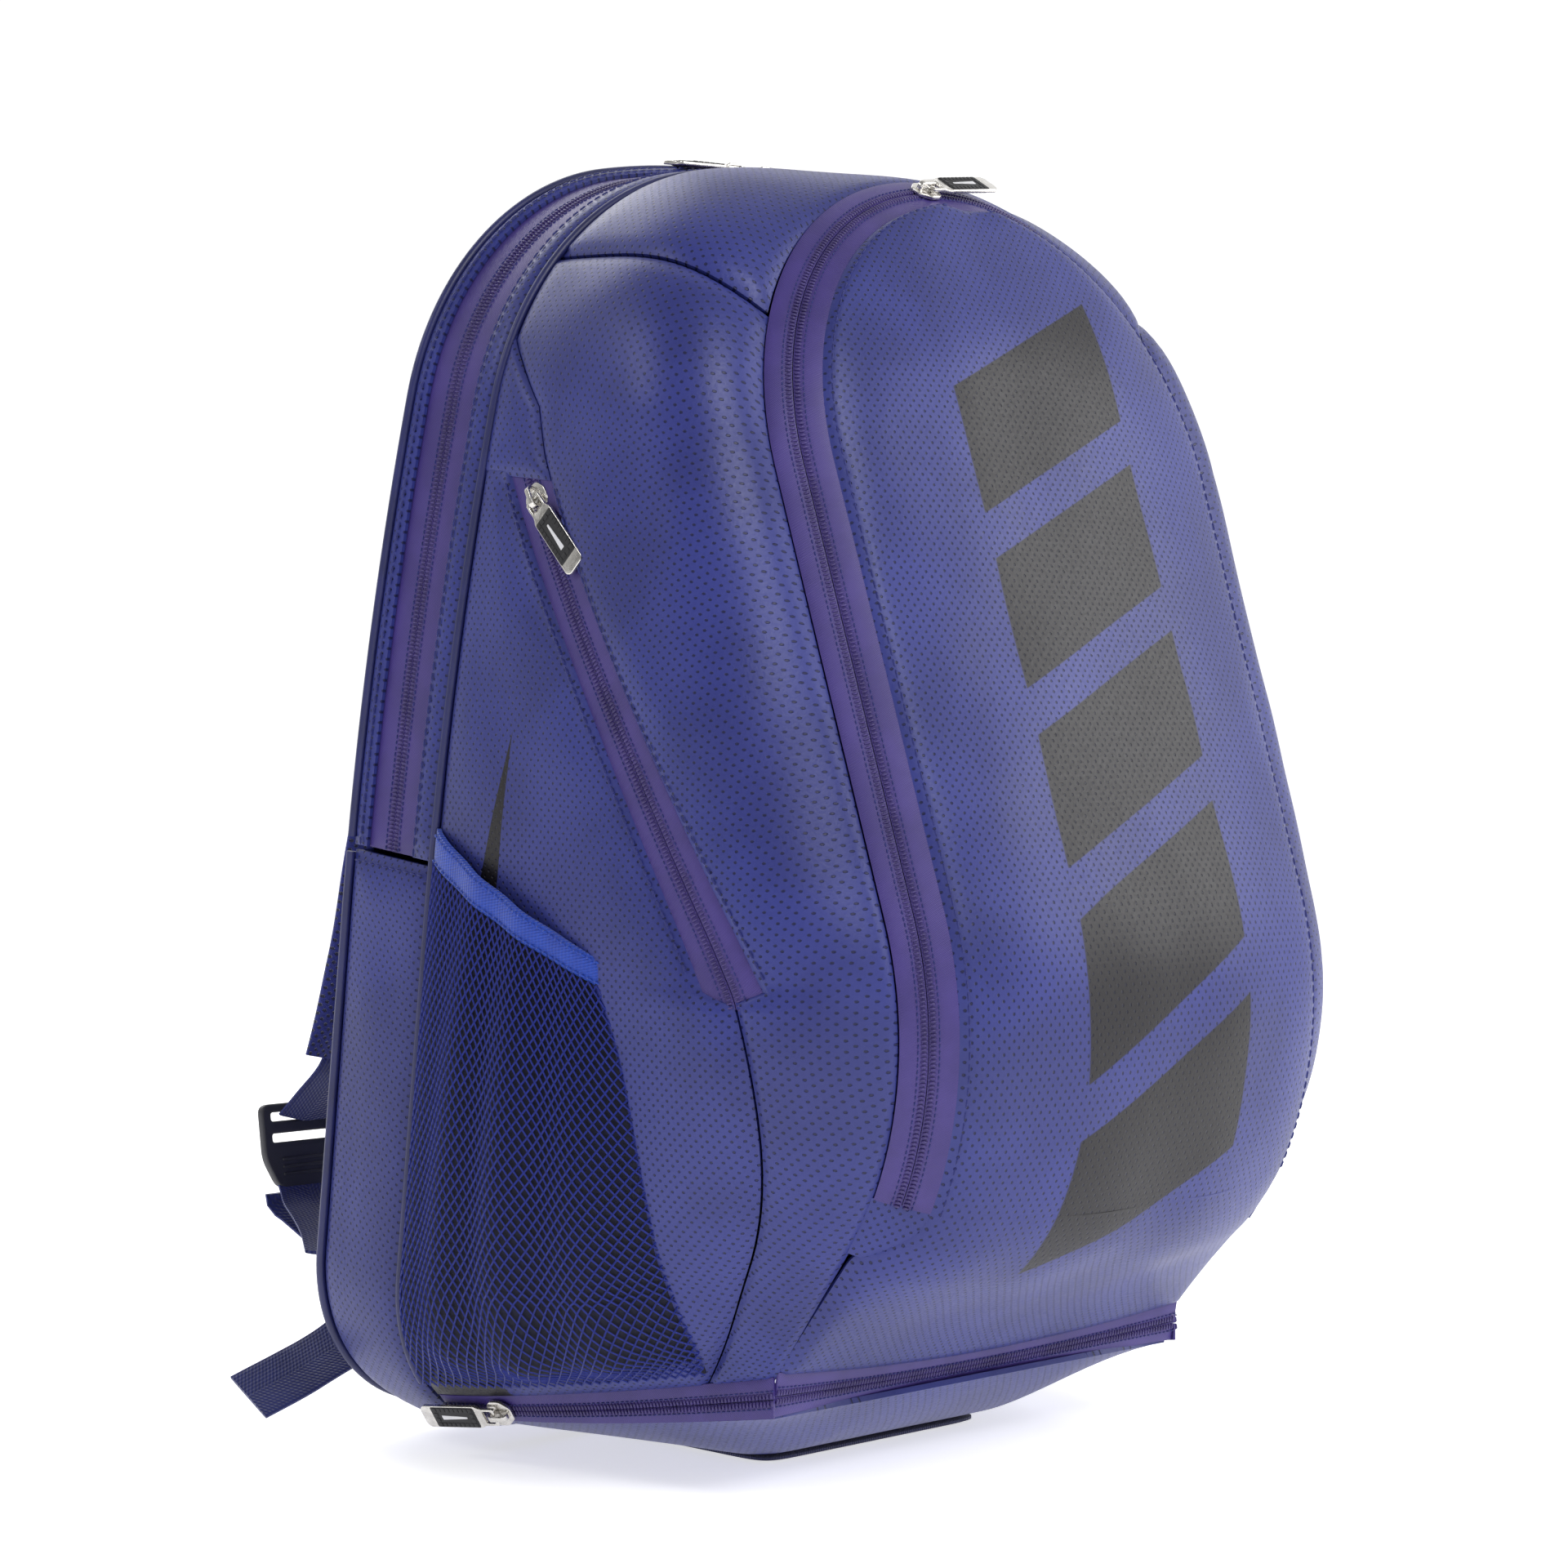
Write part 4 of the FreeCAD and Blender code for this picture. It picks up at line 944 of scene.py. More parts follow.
def make_back():
    cut = ZIP_END_HEIGHT
    depth, height = REAR_DEPTH + 0.2, BACK_PANEL - 0.4
    back_slab("back_lower", rounded(arch_outline(None, cut - 0.6, 0.4), 0.6), depth, height,
              LEATHER, "main_body", "back_panel_lower")
    back_slab("back_upper", rounded(arch_outline(cut + 0.6, None, 0.4), 0.6), depth, height,
              LEATHER, "back_flap", "back_panel_upper")
    back_slab("back_board_cover", rounded(arch_outline(cut + 12, None, 12), 2),
              REAR_DEPTH - 0.2, -1.3, LINING, "back_flap", "back_board")
    back_pad("pad_lower", arch_outline(None, 198, 22), "main_body", "back_pad_lower")
    for name, side in SIDES:
        corners = [(16, 246), (132, 246), (128, 350), (106, 412), (16, 418)]
        back_pad(f"pad_upper_{name}", [(side * x, y) for x, y in corners], "back_flap",
                 f"back_pad_upper_{name}")


# --- the wall ---------------------------------------------------------------------------------

TOP_SEAM = 0.235
ZIP_TOP_U = 0.372
ZIP_TOP_T = 0.18
ZIP_END_U = 0.706
ZIP_END_T = 0.79
ZIP_BOW = 0.08
ZIP_HALF = 9.0
ZIP_SLOPE = 0.865
HOOD_TOP_U = 0.30


def seam_t(share):
    """The seam between side and mid panels: the zip line, then down to the base."""
    if share < ZIP_END_U:
        slope = (ZIP_END_T - ZIP_TOP_T) / (ZIP_END_U - ZIP_TOP_U)
        along = max(0.0, (share - ZIP_TOP_U) / (ZIP_END_U - ZIP_TOP_U))
        line = max(0.0, ZIP_TOP_T + slope * (share - ZIP_TOP_U))
        return line + ZIP_BOW * math.sin(math.pi * along)
    fall = (share - ZIP_END_U) / (1 - ZIP_END_U)
    return ZIP_END_T + 0.05 * math.sin(math.pi * fall) + 0.03 * fall


def across_zip(share, distance):
    """A distance across the side zip, as a step of the wall's t."""
    depth = (wall_point(share, 1) - wall_point(share, 0))[1]
    return distance / (abs(depth) * ZIP_SLOPE)


def side_edge(share):
    """Front edge of the side panel."""
    if share > ZIP_END_U:
        return seam_t(share) - 0.002
    if share > ZIP_TOP_U:
        return seam_t(share) - across_zip(share, ZIP_HALF)
    return 0.02


def mid_edge(share):
    """Rear edge of the mid panel."""
    start = ZIP_TOP_U - 0.03
    if share > ZIP_END_U:
        return seam_t(share) + 0.002
    if share > start:
        return seam_t(share) + across_zip(share, ZIP_HALF)
    line = seam_t(start) + across_zip(start, ZIP_HALF)
    return 0.02 + max(0.0, (share - HOOD_TOP_U) / (start - HOOD_TOP_U)) * (line - 0.02)


def wall_panel(name, side, u0, u1, low, high, size, node, material, **shape):
    def place(a, b):
        share = u0 + (u1 - u0) * a
        return wall_point(side * share, low(share) + (high(share) - low(share)) * b)

    def uv(a, b):
        share = u0 + (u1 - u0) * a
        return share * WALL_END, place(a, b)[1]
    nodes = [node] if node else ()
    return shell_panel(name, place, size, "main_body", nodes, material, uv=uv, **shape)


def make_wall():
    def top(a, b):
        return wall_point(-TOP_SEAM + 2 * TOP_SEAM * a, 0.02 + 0.975 * b)

    def top_uv(a, b):
        return (-TOP_SEAM + 2 * TOP_SEAM * a) * WALL_END, top(a, b)[1]
    shell_panel("top", top, (70, 34), "main_body", ["top_panel"], LEATHER, puff=2.2, uv=top_uv,
                seam=8)
    for name, side in SIDES:
        wall_panel(f"side_{name}", side, ZIP_TOP_U + 0.008, 1.001, lambda share: 0.012, side_edge,
                   (90, 30), f"side_panel_{name}", LEATHER_SIDE, puff=3.0, seam=10,
                   unevenness=0.8)
        wall_panel(f"zip_hood_{name}", side, HOOD_TOP_U - 0.004, ZIP_TOP_U + 0.016,
                   lambda share: 0.012, lambda share: mid_edge(share) + 0.006, (24, 16), None,
                   LEATHER, puff=1.8, tuck=0.3, seam=4, unevenness=0.3)
        wall_panel(f"mid_{name}", side, TOP_SEAM + 0.003, 1.001, mid_edge, lambda share: 0.998,
                   (110, 32), f"mid_panel_{name}", LEATHER, puff=3.2, seam=10, unevenness=0.8)

        def at(a, offset, rise, s=side):
            share = ZIP_TOP_U + 0.006 + (ZIP_END_U - ZIP_TOP_U + 0.002) * a
            t = seam_t(share) + across_zip(share, offset)
            return off_wall(s * share, t, rise - 1.2)
        zip_row(f"side_zip_{name}_rear", at, 60, ZIP_HALF + 2, -1, "main_body",
                [f"side_zip_{name}"])
        zip_row(f"side_zip_{name}_front", at, 60, ZIP_HALF + 2, 1, "main_body")
        edges = (("rear", -ZIP_HALF - 2.6), ("front", ZIP_HALF + 2.6))
        for edge, offset in edges:
            def line(a, extra, o=offset, s=side):
                share = ZIP_TOP_U + 0.02 + (ZIP_END_U - ZIP_TOP_U - 0.03) * a
                t = seam_t(share) + across_zip(share, o + extra)
                return off_wall(s * share, t, 1.0)
            stitches(f"side_zip_stitch_{name}_{edge}", line, 60, "main_body")


# --- mesh bottle pockets ------------------------------------------------------------------------

POCKET_REAR_U = 0.636
POCKET_FRONT_U = 0.707
POCKET_WIDE = 118
POCKET_TALL = 172
MESH_ACROSS = 3.6
MESH_DOWN = 2.6


def pocket_point(side, down, forward, rise):
    """On the mesh pocket: down 0 at its mouth, 1 at its foot; forward 0 at the rear seam."""
    top = POCKET_REAR_U + (POCKET_FRONT_U - POCKET_REAR_U) * forward
    share = top + (0.985 - top) * down
    reach = 0.50 + 0.29 * max(0.0, down)
    swell_out = math.sin(math.pi * min(1.0, max(0.0, forward))) ** 0.7
    swell_out *= 0.45 + 0.55 * math.sin(math.pi * min(1.0, max(0.0, down)) ** 0.9)
    edge = 1 - smooth((down - 0.86) / 0.14)
    folds = math.sin(forward * 23 + 3.2 * down) * 2.0 * math.sin(math.pi * forward)
    folds *= 0.35 + 0.65 * smooth(down / 0.5)
    lift = 1.0 + rise + POCKET_BULGE * swell_out * edge + folds * edge
    return off_wall(side * share, 0.02 + reach * forward, lift)


def net_lines(side):
    """The two families of diagonal yarns, as short links between lattice points."""
    columns = int(POCKET_WIDE / MESH_ACROSS)
    rows = int(POCKET_TALL / MESH_DOWN)
    points = {}
    for i in range(rows + 1):
        for j in range(2 * columns + 1):
            if (i + j) % 2 == 0:
                points[i, j] = pocket_point(side, i / rows * 0.995, j / (2 * columns), 1.2)
    links = []
    for (i, j), point in points.items():
        for step in (-1, 1):
            other = points.get((i + 1, j + step))
            if other is not None:
                links.append((point, other))
    return links


def make_net(name, side, body):
    """Knitted net: every yarn is a thin rod, a little flattened."""
    links = net_lines(side)
    starts = np.array([a for a, b in links])
    ends = np.array([b for a, b in links])
    along = ends - starts
    length = np.linalg.norm(along, axis=1, keepdims=True)
    along /= length
    out = np.tile(np.array([[side, 0, 0.0]]), (len(links), 1))
    across = np.cross(out, along)
    across /= np.linalg.norm(across, axis=1, keepdims=True)
    up = np.cross(along, across)
    half, flat = 0.42, 0.32
    ring = [(half, 0), (0, flat), (-half, 0), (0, -flat)]
    points = []
    for end in (starts - along * 0.15, ends + along * 0.15):
        for x, y in ring:
            points.append(end + across * x + up * y)
    points = np.stack(points, axis=1).reshape(-1, 3)
    base = np.arange(len(links))[:, None] * 8
    faces = np.concatenate([base + np.array([m, (m + 1) % 4, (m + 1) % 4 + 4, m + 4])
                            for m in range(4)])
    uvs = points[:, 1:]
    thing = make_mesh(name, points, faces, uvs, [NET], sharp=80)
    return piece(thing, body, ())


def make_pockets():
    for name, side in SIDES:
        net = make_net(f"pocket_net_{name}", side, "main_body")
        # near-black sheet just under the net: painted shade of the pocket's inside, seen through the
        # net
        shade_behind_net = panel(f"pocket_{name}", lambda a, b, s=side: pocket_point(s, a * 0.995, b, 0.2),
                      (60, 50), [NET_SHADE_SHEET], puff=0, tuck=0, thick=0.5, unevenness=0)
        piece(shade_behind_net, "main_body", [f"mesh_pocket_{name}"])

        def band(a, b, s=side):
            return pocket_point(s, -0.062 * (1 - a), b, 0.9)
        thing = panel(f"pocket_elastic_{name}", band, (10, 40), [ELASTIC], puff=0.5, tuck=0.2,
                      seam=1.5, thick=1.8, unevenness=0.1)
        piece(thing, "main_body", ["pocket_elastics"] if side < 0 else ())
        for edge, down in (("upper", -0.054), ("lower", -0.008)):
            stitches(f"elastic_stitch_{name}_{edge}",
                     lambda a, o, s=side, d=down: pocket_point(s, d + o * 0.004, 0.01 + 0.98 * a, 1.4),
                     40, "main_body", 2.2, 0.9, 0.1, ELASTIC)


# --- the front pocket ---------------------------------------------------------------------------

def front_half_width(run, inset):
    if run <= FRONT_ARCH:
        return math.sqrt(max(0.0, (FRONT_ARCH - inset) ** 2 - (FRONT_ARCH - run) ** 2))
    return FRONT_ARCH - inset - (run - FRONT_ARCH) * math.tan(math.radians(1))


def front_zip_point(s, offset, rise):
    """On the sloping zip band: offset from its middle towards the flap."""
    side = -1.0 if s < 0 else 1.0
    slope = math.hypot(ZIP_WIDTH, ZIP_RISE)
    share = 0.5 + offset / slope
    x, y, heading = track_point(FRONT, abs(s), ZIP_WIDTH * share)
    x -= rise * ZIP_RISE / slope * math.sin(heading)
    y += rise * ZIP_RISE / slope * math.cos(heading)
    return front_point(side * x, -y, ZIP_RISE * share + rise * ZIP_WIDTH / slope)


def foot_share(run):
    """The front pocket's depth fades out from the hinge line to its foot."""
    return 1 - smooth((run - HINGE_RUN) / (FRONT_RUN - HINGE_RUN))


def flap_point(s, across, rise):
    """On the flap: s down its outline, across -1 to 1 between its two edges."""
    half, run, _ = track_point(FRONT, s, ZIP_WIDTH)
    run = -run
    crown = FRONT_DOME * (1 - abs(across) ** 3) * smooth(run / 90)
    return front_point(across * half, run, ZIP_RISE + crown + rise)


def lower_point(across, run, rise):
    """On the lower front panel, which widens out to the side seams."""
    half = front_half_width(run, ZIP_WIDTH)
    wide = front_half_width(run, 1.0)
    fall = smooth((run - HINGE_RUN) / 30)
    x = across * (half + (wide - half) * fall)
    crown = FRONT_DOME * (1 - abs(across) ** 3)
    edge = ZIP_RISE * (1 - fall * abs(across) ** 8)
    return front_point(x, run, (edge + crown) * foot_share(run) + rise)


def lower_end(across):
    return FRONT_RUN + 8 * (1 - across ** 2)


def make_front():
    half = math.hypot(ZIP_WIDTH, ZIP_RISE) / 2

    def at(a, offset, rise):
        return front_zip_point(-HINGE_LENGTH + 2 * HINGE_LENGTH * a, offset, rise - 0.6)
    zip_row("front_zip_outer", at, 260, half + 0.5, -1, "main_body",
            ["front_zip_outer_tape"])
    zip_row("front_zip_inner", at, 260, half + 1.5, 1, "front_flap",
            ["front_zip_inner_tape"])
    make_flap()
    for name, side in SIDES:
        make_flap_edge(name, side, half + 2)
    make_lower_front()
    make_divider()


def down_flap(a):
    """Length along the front zip at a share of the flap's height."""
    return FLAP_START + (HINGE_LENGTH - 0.5 - FLAP_START) * a


def make_flap():
    def flap(a, b):
        return flap_point(down_flap(a), -1 + 2 * b, 0.6)

    def flap_uv(a, b):
        half_width, run, _ = track_point(FRONT, down_flap(a), ZIP_WIDTH)
        return (-1 + 2 * b) * half_width, -run
    shell_panel("flap", flap, (120, 60), "front_flap", ["flap_panel"], LEATHER_FRONT, puff=2.4,
                tuck=1.4, seam=5, sides="023", uv=flap_uv, unevenness=0.7)


def make_flap_edge(name, side, reach):
    """Leather under the zip's end, and the stitches along the flap's edge."""
    def corner(a, b):
        return front_zip_point(side * (HINGE_LENGTH - 1.2 + 24 * a), (-1 + 2 * b) * reach, -0.5)
    shell_panel(f"zip_end_{name}", corner, (20, 14), "main_body", (), LEATHER, puff=0.6,
                tuck=0.2, seam=3, thick=1.6, unevenness=0.2)

    def edge(a, offset):
        half_width = track_point(FRONT, down_flap(a), ZIP_WIDTH)[0]
        return flap_point(down_flap(a), side * (1 - (3.4 + offset) / half_width), 1.6)
    stitches(f"flap_stitch_{name}", edge, 120, "front_flap")


def make_lower_front():
    def lower_run(a, across):
        return HINGE_RUN + 0.5 + (lower_end(across) - HINGE_RUN - 0.5) * a

    def lower(a, b):
        across = -1 + 2 * b
        return lower_point(across, lower_run(a, across), 0.6)

    def lower_uv(a, b):
        return lower(a, b)[0], lower_run(a, -1 + 2 * b)
    shell_panel("lower_front", lower, (40, 60), "main_body", ["lower_front_panel"],
                LEATHER_FRONT, puff=2.4, tuck=1.4, seam=5, sides="123", uv=lower_uv,
                unevenness=0.9)


def make_divider():
    """Cloth wall between the front pocket and the main compartment."""
    def divider(a, b):
        run = 22 + (FRONT_RUN - 30) * a ** 1.2
        half_width = front_half_width(run, 0.0) + 6 * smooth(run / 80)
        return front_point((-1 + 2 * b) * half_width, run, 1.4 - POCKET_DEPTH)
    thing = panel("divider", divider, (40, 30), [LINING], puff=0.6, tuck=0, thick=1.3,
                  unevenness=1.0)
    piece(thing, "main_body", ["pocket_divider"])


# --- the base -----------------------------------------------------------------------------------

def base_rim(side, t):
    """Lower edge of the bottom zip's band, below the side wall."""
    drop = BAND_HEIGHT_REAR + (BAND_HEIGHT - BAND_HEIGHT_REAR) * t
    return wall_point(side * 1.0, t) + np.array([-side * 7 * (1 - t), 0, -drop])


def band_edges(stretch, along):
    """Lower and upper edge of the bottom zip's band."""
    if stretch == "front":
        across = -1 + 2 * along
        top = lower_point(across, lower_end(across), 0)
        return np.array([top[0], top[1] + 3, base_rim(1, 1.0)[2]]), top
    side = -1 if stretch == "left" else 1
    t = 0.03 + 0.95 * along
    return base_rim(side, t), wall_point(side * 1.0, t)


def band_point(stretch, along, offset, rise):
    """On the bottom zip band: offset is measured up it from its middle line."""
    low, top = band_edges(stretch, along)
    low_before, top_before = band_edges(stretch, max(0.0, along - 0.01))
    low_after, top_after = band_edges(stretch, min(1.0, along + 0.01))
    forward = low_after + top_after - low_before - top_before
    up = (top - low) / np.linalg.norm(top - low)
    out = np.cross(forward, up)
    middle = (low + top) / 2
    if out.dot(middle - CENTRE) < 0:
        out = -out
    return middle + up * offset + out / np.linalg.norm(out) * rise


def band_half(stretch, along):
    low, top = band_edges(stretch, along)
    return np.linalg.norm(top - low) / 2


def bowl_point(a, b):
    """The base from its rear (a 0) to its front, across from b 0 to 1: flat, with raised rims."""
    rim = base_rim(-1, 0.04 + 0.94 * a)
    across = -1 + 2 * b
    nose = max(0.0, (a - 0.57) / 0.43) ** BOWL_POWER
    turn_up = max(0.0, (abs(across) - 0.46) / 0.54) ** BOWL_POWER
    top = rim[2] - 0.5
    middle = BASE_RISE + (top - BASE_RISE) * nose
    return np.array([across * (abs(rim[0]) - 4), rim[1], middle + (top - middle) * turn_up])


def make_plate(name, low, high, half, deep, material):
    """Board with rounded corners and softened edges, between two heights."""
    corners = rounded([(-half, -deep), (half, -deep), (half, deep), (-half, deep)], 5)
    inset = corners * (1 - 1.2 / deep)
    rings = [(inset, low), (corners, low + 0.5), (corners, high - 0.5), (inset, high)]
    points = [(x, y + BASE_MIDDLE_Y, z) for ring, z in rings for x, y in ring]
    uvs = [(x, y) for ring, z in rings for x, y in ring]
    faces = tube_faces(len(rings), len(corners))
    thing = make_mesh(name + "_cover", points, faces, uvs, [material], sharp=30)
    return piece(thing, "base_flap", [name])


def make_base():
    for stretch, reach_on in (("left", 1.02), ("front", 1.0), ("right", 1.02)):
        for label, way, body, wide in (("lower", -1, "base_flap", 8.0),
                                       ("upper", 1, "main_body", 9.5)):
            def at(a, offset, rise, where=stretch, stop=reach_on):
                along = stop * a
                scale = band_half(where, along) / 8.0
                return band_point(where, along, offset * scale, rise)
            nodes = [f"bottom_zip_{label}_tape"] if stretch == "left" else ()
            zip_row(f"bottom_zip_{stretch}_{label}", at, 50, wide, way, body, nodes)
    shell_panel("base", bowl_point, (40, 60), "base_flap", ["base_panel"], LEATHER, puff=0.4,
                tuck=0, thick=2.2, unevenness=0.1)
    make_plate("base_board", 6.9, 8.2, 62, 42, BOARD)
    make_plate("wear_patch", 0.0, 2.0, 61, 41, BASE_CLOTH)


# --- sliders and pulls ----------------------------------------------------------------------------

PIVOT_SHIFT = 1.3
PIVOT_HEIGHT = 4.38
PULL_TURNS = {"main_left": 5, "main_right": -32, "front": 0, "side_left": 16, "side_right": -16,
              "bottom": 0}


def plate(loops, thick, bevel, lift=0.0, upright=False):
    """Flat plate with rounded edges from closed loops of (x, y); the first is its outside."""
    curve = bpy.data.curves.new("plate", "CURVE")
    curve.dimensions = "2D"
    curve.fill_mode = "BOTH"
    curve.extrude = (thick / 2 - bevel) * MM
    curve.bevel_depth = bevel * MM
    curve.bevel_resolution = 2
    curve.offset = -bevel * MM
    for loop in loops:
        line = curve.splines.new("POLY")
        line.points.add(len(loop) - 1)
        for point, (x, y) in zip(line.points, loop):
            point.co = (x * MM, y * MM, 0, 1)
        line.use_cyclic_u = True
    thing = bpy.data.objects.new("plate", curve)
    bpy.context.scene.collection.objects.link(thing)
    graph = bpy.context.evaluated_depsgraph_get()
    mesh = bpy.data.meshes.new_from_object(thing.evaluated_get(graph))
    bpy.data.objects.remove(thing)
    if upright:
        mesh.transform(Matrix.Rotation(math.pi / 2, 4, "X"))
    mesh.transform(Matrix.Translation((0, 0, lift * MM)))
    return mesh


def corner_loop(outline, radius, steps=4):
    """Outline with its corners cut to small arcs."""
    loop = []
    count = len(outline)
    for k in range(count):
        before, here, after = (np.array(outline[(k + d) % count], float) for d in (-1, 0, 1))
        a = here + (before - here) * min(0.45, radius / np.linalg.norm(before - here))
        b = here + (after - here) * min(0.45, radius / np.linalg.norm(after - here))
        for m in range(steps + 1):
            t = m / steps
            loop.append(tuple(a * (1 - t) ** 2 + 2 * here * t * (1 - t) + b * t ** 2))
    return loop


def box_loop(x0, y0, x1, y1, radius):
    return corner_loop([(x0, y0), (x1, y0), (x1, y1), (x0, y1)], radius, 3)


def join_meshes(name, parts, matrix):
    """One object from meshes with their materials, moved into place."""
    work = bmesh.new()
    materials = []
    for mesh, material in parts:
        if material not in materials:
            materials.append(material)
        mesh.transform(matrix)
        start = len(work.faces)
        work.from_mesh(mesh)
        work.faces.ensure_lookup_table()
        for face in work.faces[start:]:
            face.material_index = materials.index(material)
        bpy.data.meshes.remove(mesh)
    bmesh.ops.remove_doubles(work, verts=work.verts, dist=0.000004)
    mesh = bpy.data.meshes.new(name)
    work.to_mesh(mesh)
    work.free()
    for material in materials:
        mesh.materials.append(material)
    mesh.shade_smooth()
    mesh.set_sharp_from_angle(angle=math.radians(40))
    if not mesh.uv_layers:
        mesh.uv_layers.new(name="UVMap")
    thing = bpy.data.objects.new(name, mesh)
    bpy.context.scene.collection.objects.link(thing)
    return thing


def slider_parts():
    """Two shields, the bridge that holds the pull, and the wedge between the shields."""
    body = [(-5.5, -3.5), (-3.5, -5.5), (1.5, -5.5), (5.5, -2.5), (5.5, 2.5), (1.5, 5.5),
            (-3.5, 5.5), (-5.5, 3.5)]
    shield = corner_loop(body, 1.2)
    arch = corner_loop([(-4.5, 2.6), (4.5, 2.6), (4.5, 5.2), (3.3, 6.4), (-3.3, 6.4), (-4.5, 5.2)], 0.8)
    hole = corner_loop([(-3, 2.8), (3, 2.8), (3, 4.9), (2.3, 5.3), (-2.3, 5.3), (-3, 4.9)], 0.5)
    return [(plate([shield], 1.5, 0.35, 2.05), METAL), (plate([shield], 1.5, 0.35, -2.05), METAL),
            (plate([arch, hole], 2.2, 0.3, upright=True), METAL),
            (plate([box_loop(1.5, -0.4, 4.5, 0.4, 0.2)], 2.8, 0.1), METAL)]


def pull_parts():
    """Metal frame with an eye, and a rubber insert with small studs and a plain mark."""
    length, half = 36.0, 5.0
    outline = corner_loop([(-0.7, -3.8), (6, -3.8), (8.5, -half), (length - 1.6, -half),
                           (length, -half + 1.6), (length, half - 1.6), (length - 1.6, half),
                           (8.5, half), (6, 3.8), (-0.7, 3.8)], 0.9)
    eye = box_loop(0.7, -2.8, 5.4, 2.8, 0.9)
    window = box_loop(9.5, -3.9, length - 6.5, 3.9, 0.4)
    parts = [(plate([outline, eye, window], 1.5, 0.3), METAL),
             (plate([box_loop(8.9, -4.7, length - 5.4, 4.7, 0.8)], 1.9, 0.35), RUBBER)]
    for k in range(9):
        for m in range(4):
            x, y = 10.6 + 2.25 * k, -3.45 + 2.3 * m
            if not (m in (1, 2) and 1 <= k <= 7):
                parts.append((plate([box_loop(x - 0.9, y - 0.9, x + 0.9, y + 0.9, 0.2)],
                                    2.3, 0.12), RUBBER))
    parts.append((plate([corner_loop([(13.5, -0.4), (26, -1.0), (26, 1.0), (13.5, 0.4)], 0.3)],
                        2.2, 0.1), MARK))
    return parts


def place_hardware(name, turn):
    """Slider and pull where the frame has them; turn is the pull's yaw on its slider."""
    joint = next(j for j in frame["joints"] if j["name"] == f"{name}_pull_lift")
    pivot = Vector(joint["pos_m"])
    side = -Vector(joint["axis"]).normalized()
    insert = frame["nodes"][f"{name}_pull_insert"].data
    middle = sum((v.co for v in insert.vertices), Vector()) / len(insert.vertices)
    along = (middle - pivot).normalized()
    along = (along - side * along.dot(side)).normalized()
    up = along.cross(side)
    pull = Matrix((along, side, up)).transposed().to_4x4()
    pull.translation = pivot
    thing = join_meshes(f"{name}_puller", pull_parts(), pull)
    piece(thing, f"{name}_pull", [f"{name}_pull_frame", f"{name}_pull_insert"])
    slider = pull @ Matrix.Rotation(-math.pi - math.radians(turn), 4, "Z")
    slider = slider @ Matrix.Translation((PIVOT_SHIFT * MM, 0, -PIVOT_HEIGHT * MM))
    thing = join_meshes(f"{name}_zip_slider", slider_parts(), slider)
    piece(thing, f"{name}_slider", [f"{name}_slider"])


def make_hardware():
    for name, turn in PULL_TURNS.items():
        place_hardware(name, turn)


# --- harness -----------------------------------------------------------------------------------------

STRAP_ROUTE = ((61, 67, 458), (63, 75, 440), (67, 96, 405), (74, 116, 345), (86, 130, 290),
               (93, 138, 250), (99, 145, 202), (104, 151, 173), (110, 157, 142))
CLIMB_ROUTE = ((120, 176, 99), (120, 170, 87), (124, 157, 81), (130, 142, 75), (139, 127, 70))
TAB_ROUTE = ((108, 155, 152), (111, 159, 140), (116, 168, 128), (120, 176, 118))
TAIL_ROUTE = ((119, 183, 88), (118, 182, 84), (109, 170, 71), (99, 157, 57), (99, 149, 44),
              (113, 150, 33), (138, 153, 22), (160, 158, 13))


def side_line(side, points, step):
    """Smooth line through points that are given for the right side."""
    return spline([(side * x, y, z) for x, y, z in points], step)


def across_body(_share):
    """Strips lie flat across the wearer's back."""
    return (1, 0, 0)


def strap_section(share):
    """Foam strap: a full middle and a flat bound edge; narrower and thinner at its ends."""
    ends = smooth(share / 0.06) * smooth((1 - share) / 0.05)
    width = 56 * (0.82 + 0.18 * smooth(share / 0.25) * smooth((1 - share) / 0.25))
    depth = 3.0 + 7.5 * ends
    shape = []
    for k in range(28):
        angle = 2 * math.pi * (k + 0.5) / 28
        c, s = math.cos(angle), math.sin(angle)
        x = width / 2 * math.copysign(abs(c) ** 0.62, c)
        bulge = (1 - abs(x / (width / 2)) ** 5)
        y = math.copysign(1.3 * abs(s) ** 0.5, s) + math.copysign((depth / 2 - 1.3) * bulge, s)
        shape.append((x, y))
    return shape


def make_strap(name, side):
    """Shoulder strap, lofted in one piece along its route."""
    route = side_line(side, STRAP_ROUTE, 5)
    strap = loft(f"strap_{name}", route, across_body, strap_section, AIR_MESH)
    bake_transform(strap)
    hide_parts(f"strap_upper_{name}", f"strap_lower_{name}")


def make_webbing(name, side):
    """The climb from the bag to the lock, the tab from the strap to the lock, the free tail."""
    def tail_turn(share):
        twist = smooth((share - 0.15) / 0.5)
        return (1 - 0.293 * twist, 0.707 * side * twist, 0)

    section = rounded_section(27, 1.5, 16, 6)
    for label, points, turn, nodes in (
            ("webbing_climb", CLIMB_ROUTE, across_body, [f"webbing_{name}"]),
            ("lock_tab", TAB_ROUTE, across_body, ()),
            ("webbing_tail", TAIL_ROUTE, tail_turn, ())):
        route = side_line(side, points, 3)
        strip = loft(f"{label}_{name}", route, turn, lambda share: section, WEBBING)
        piece(strip, "main_body", nodes)


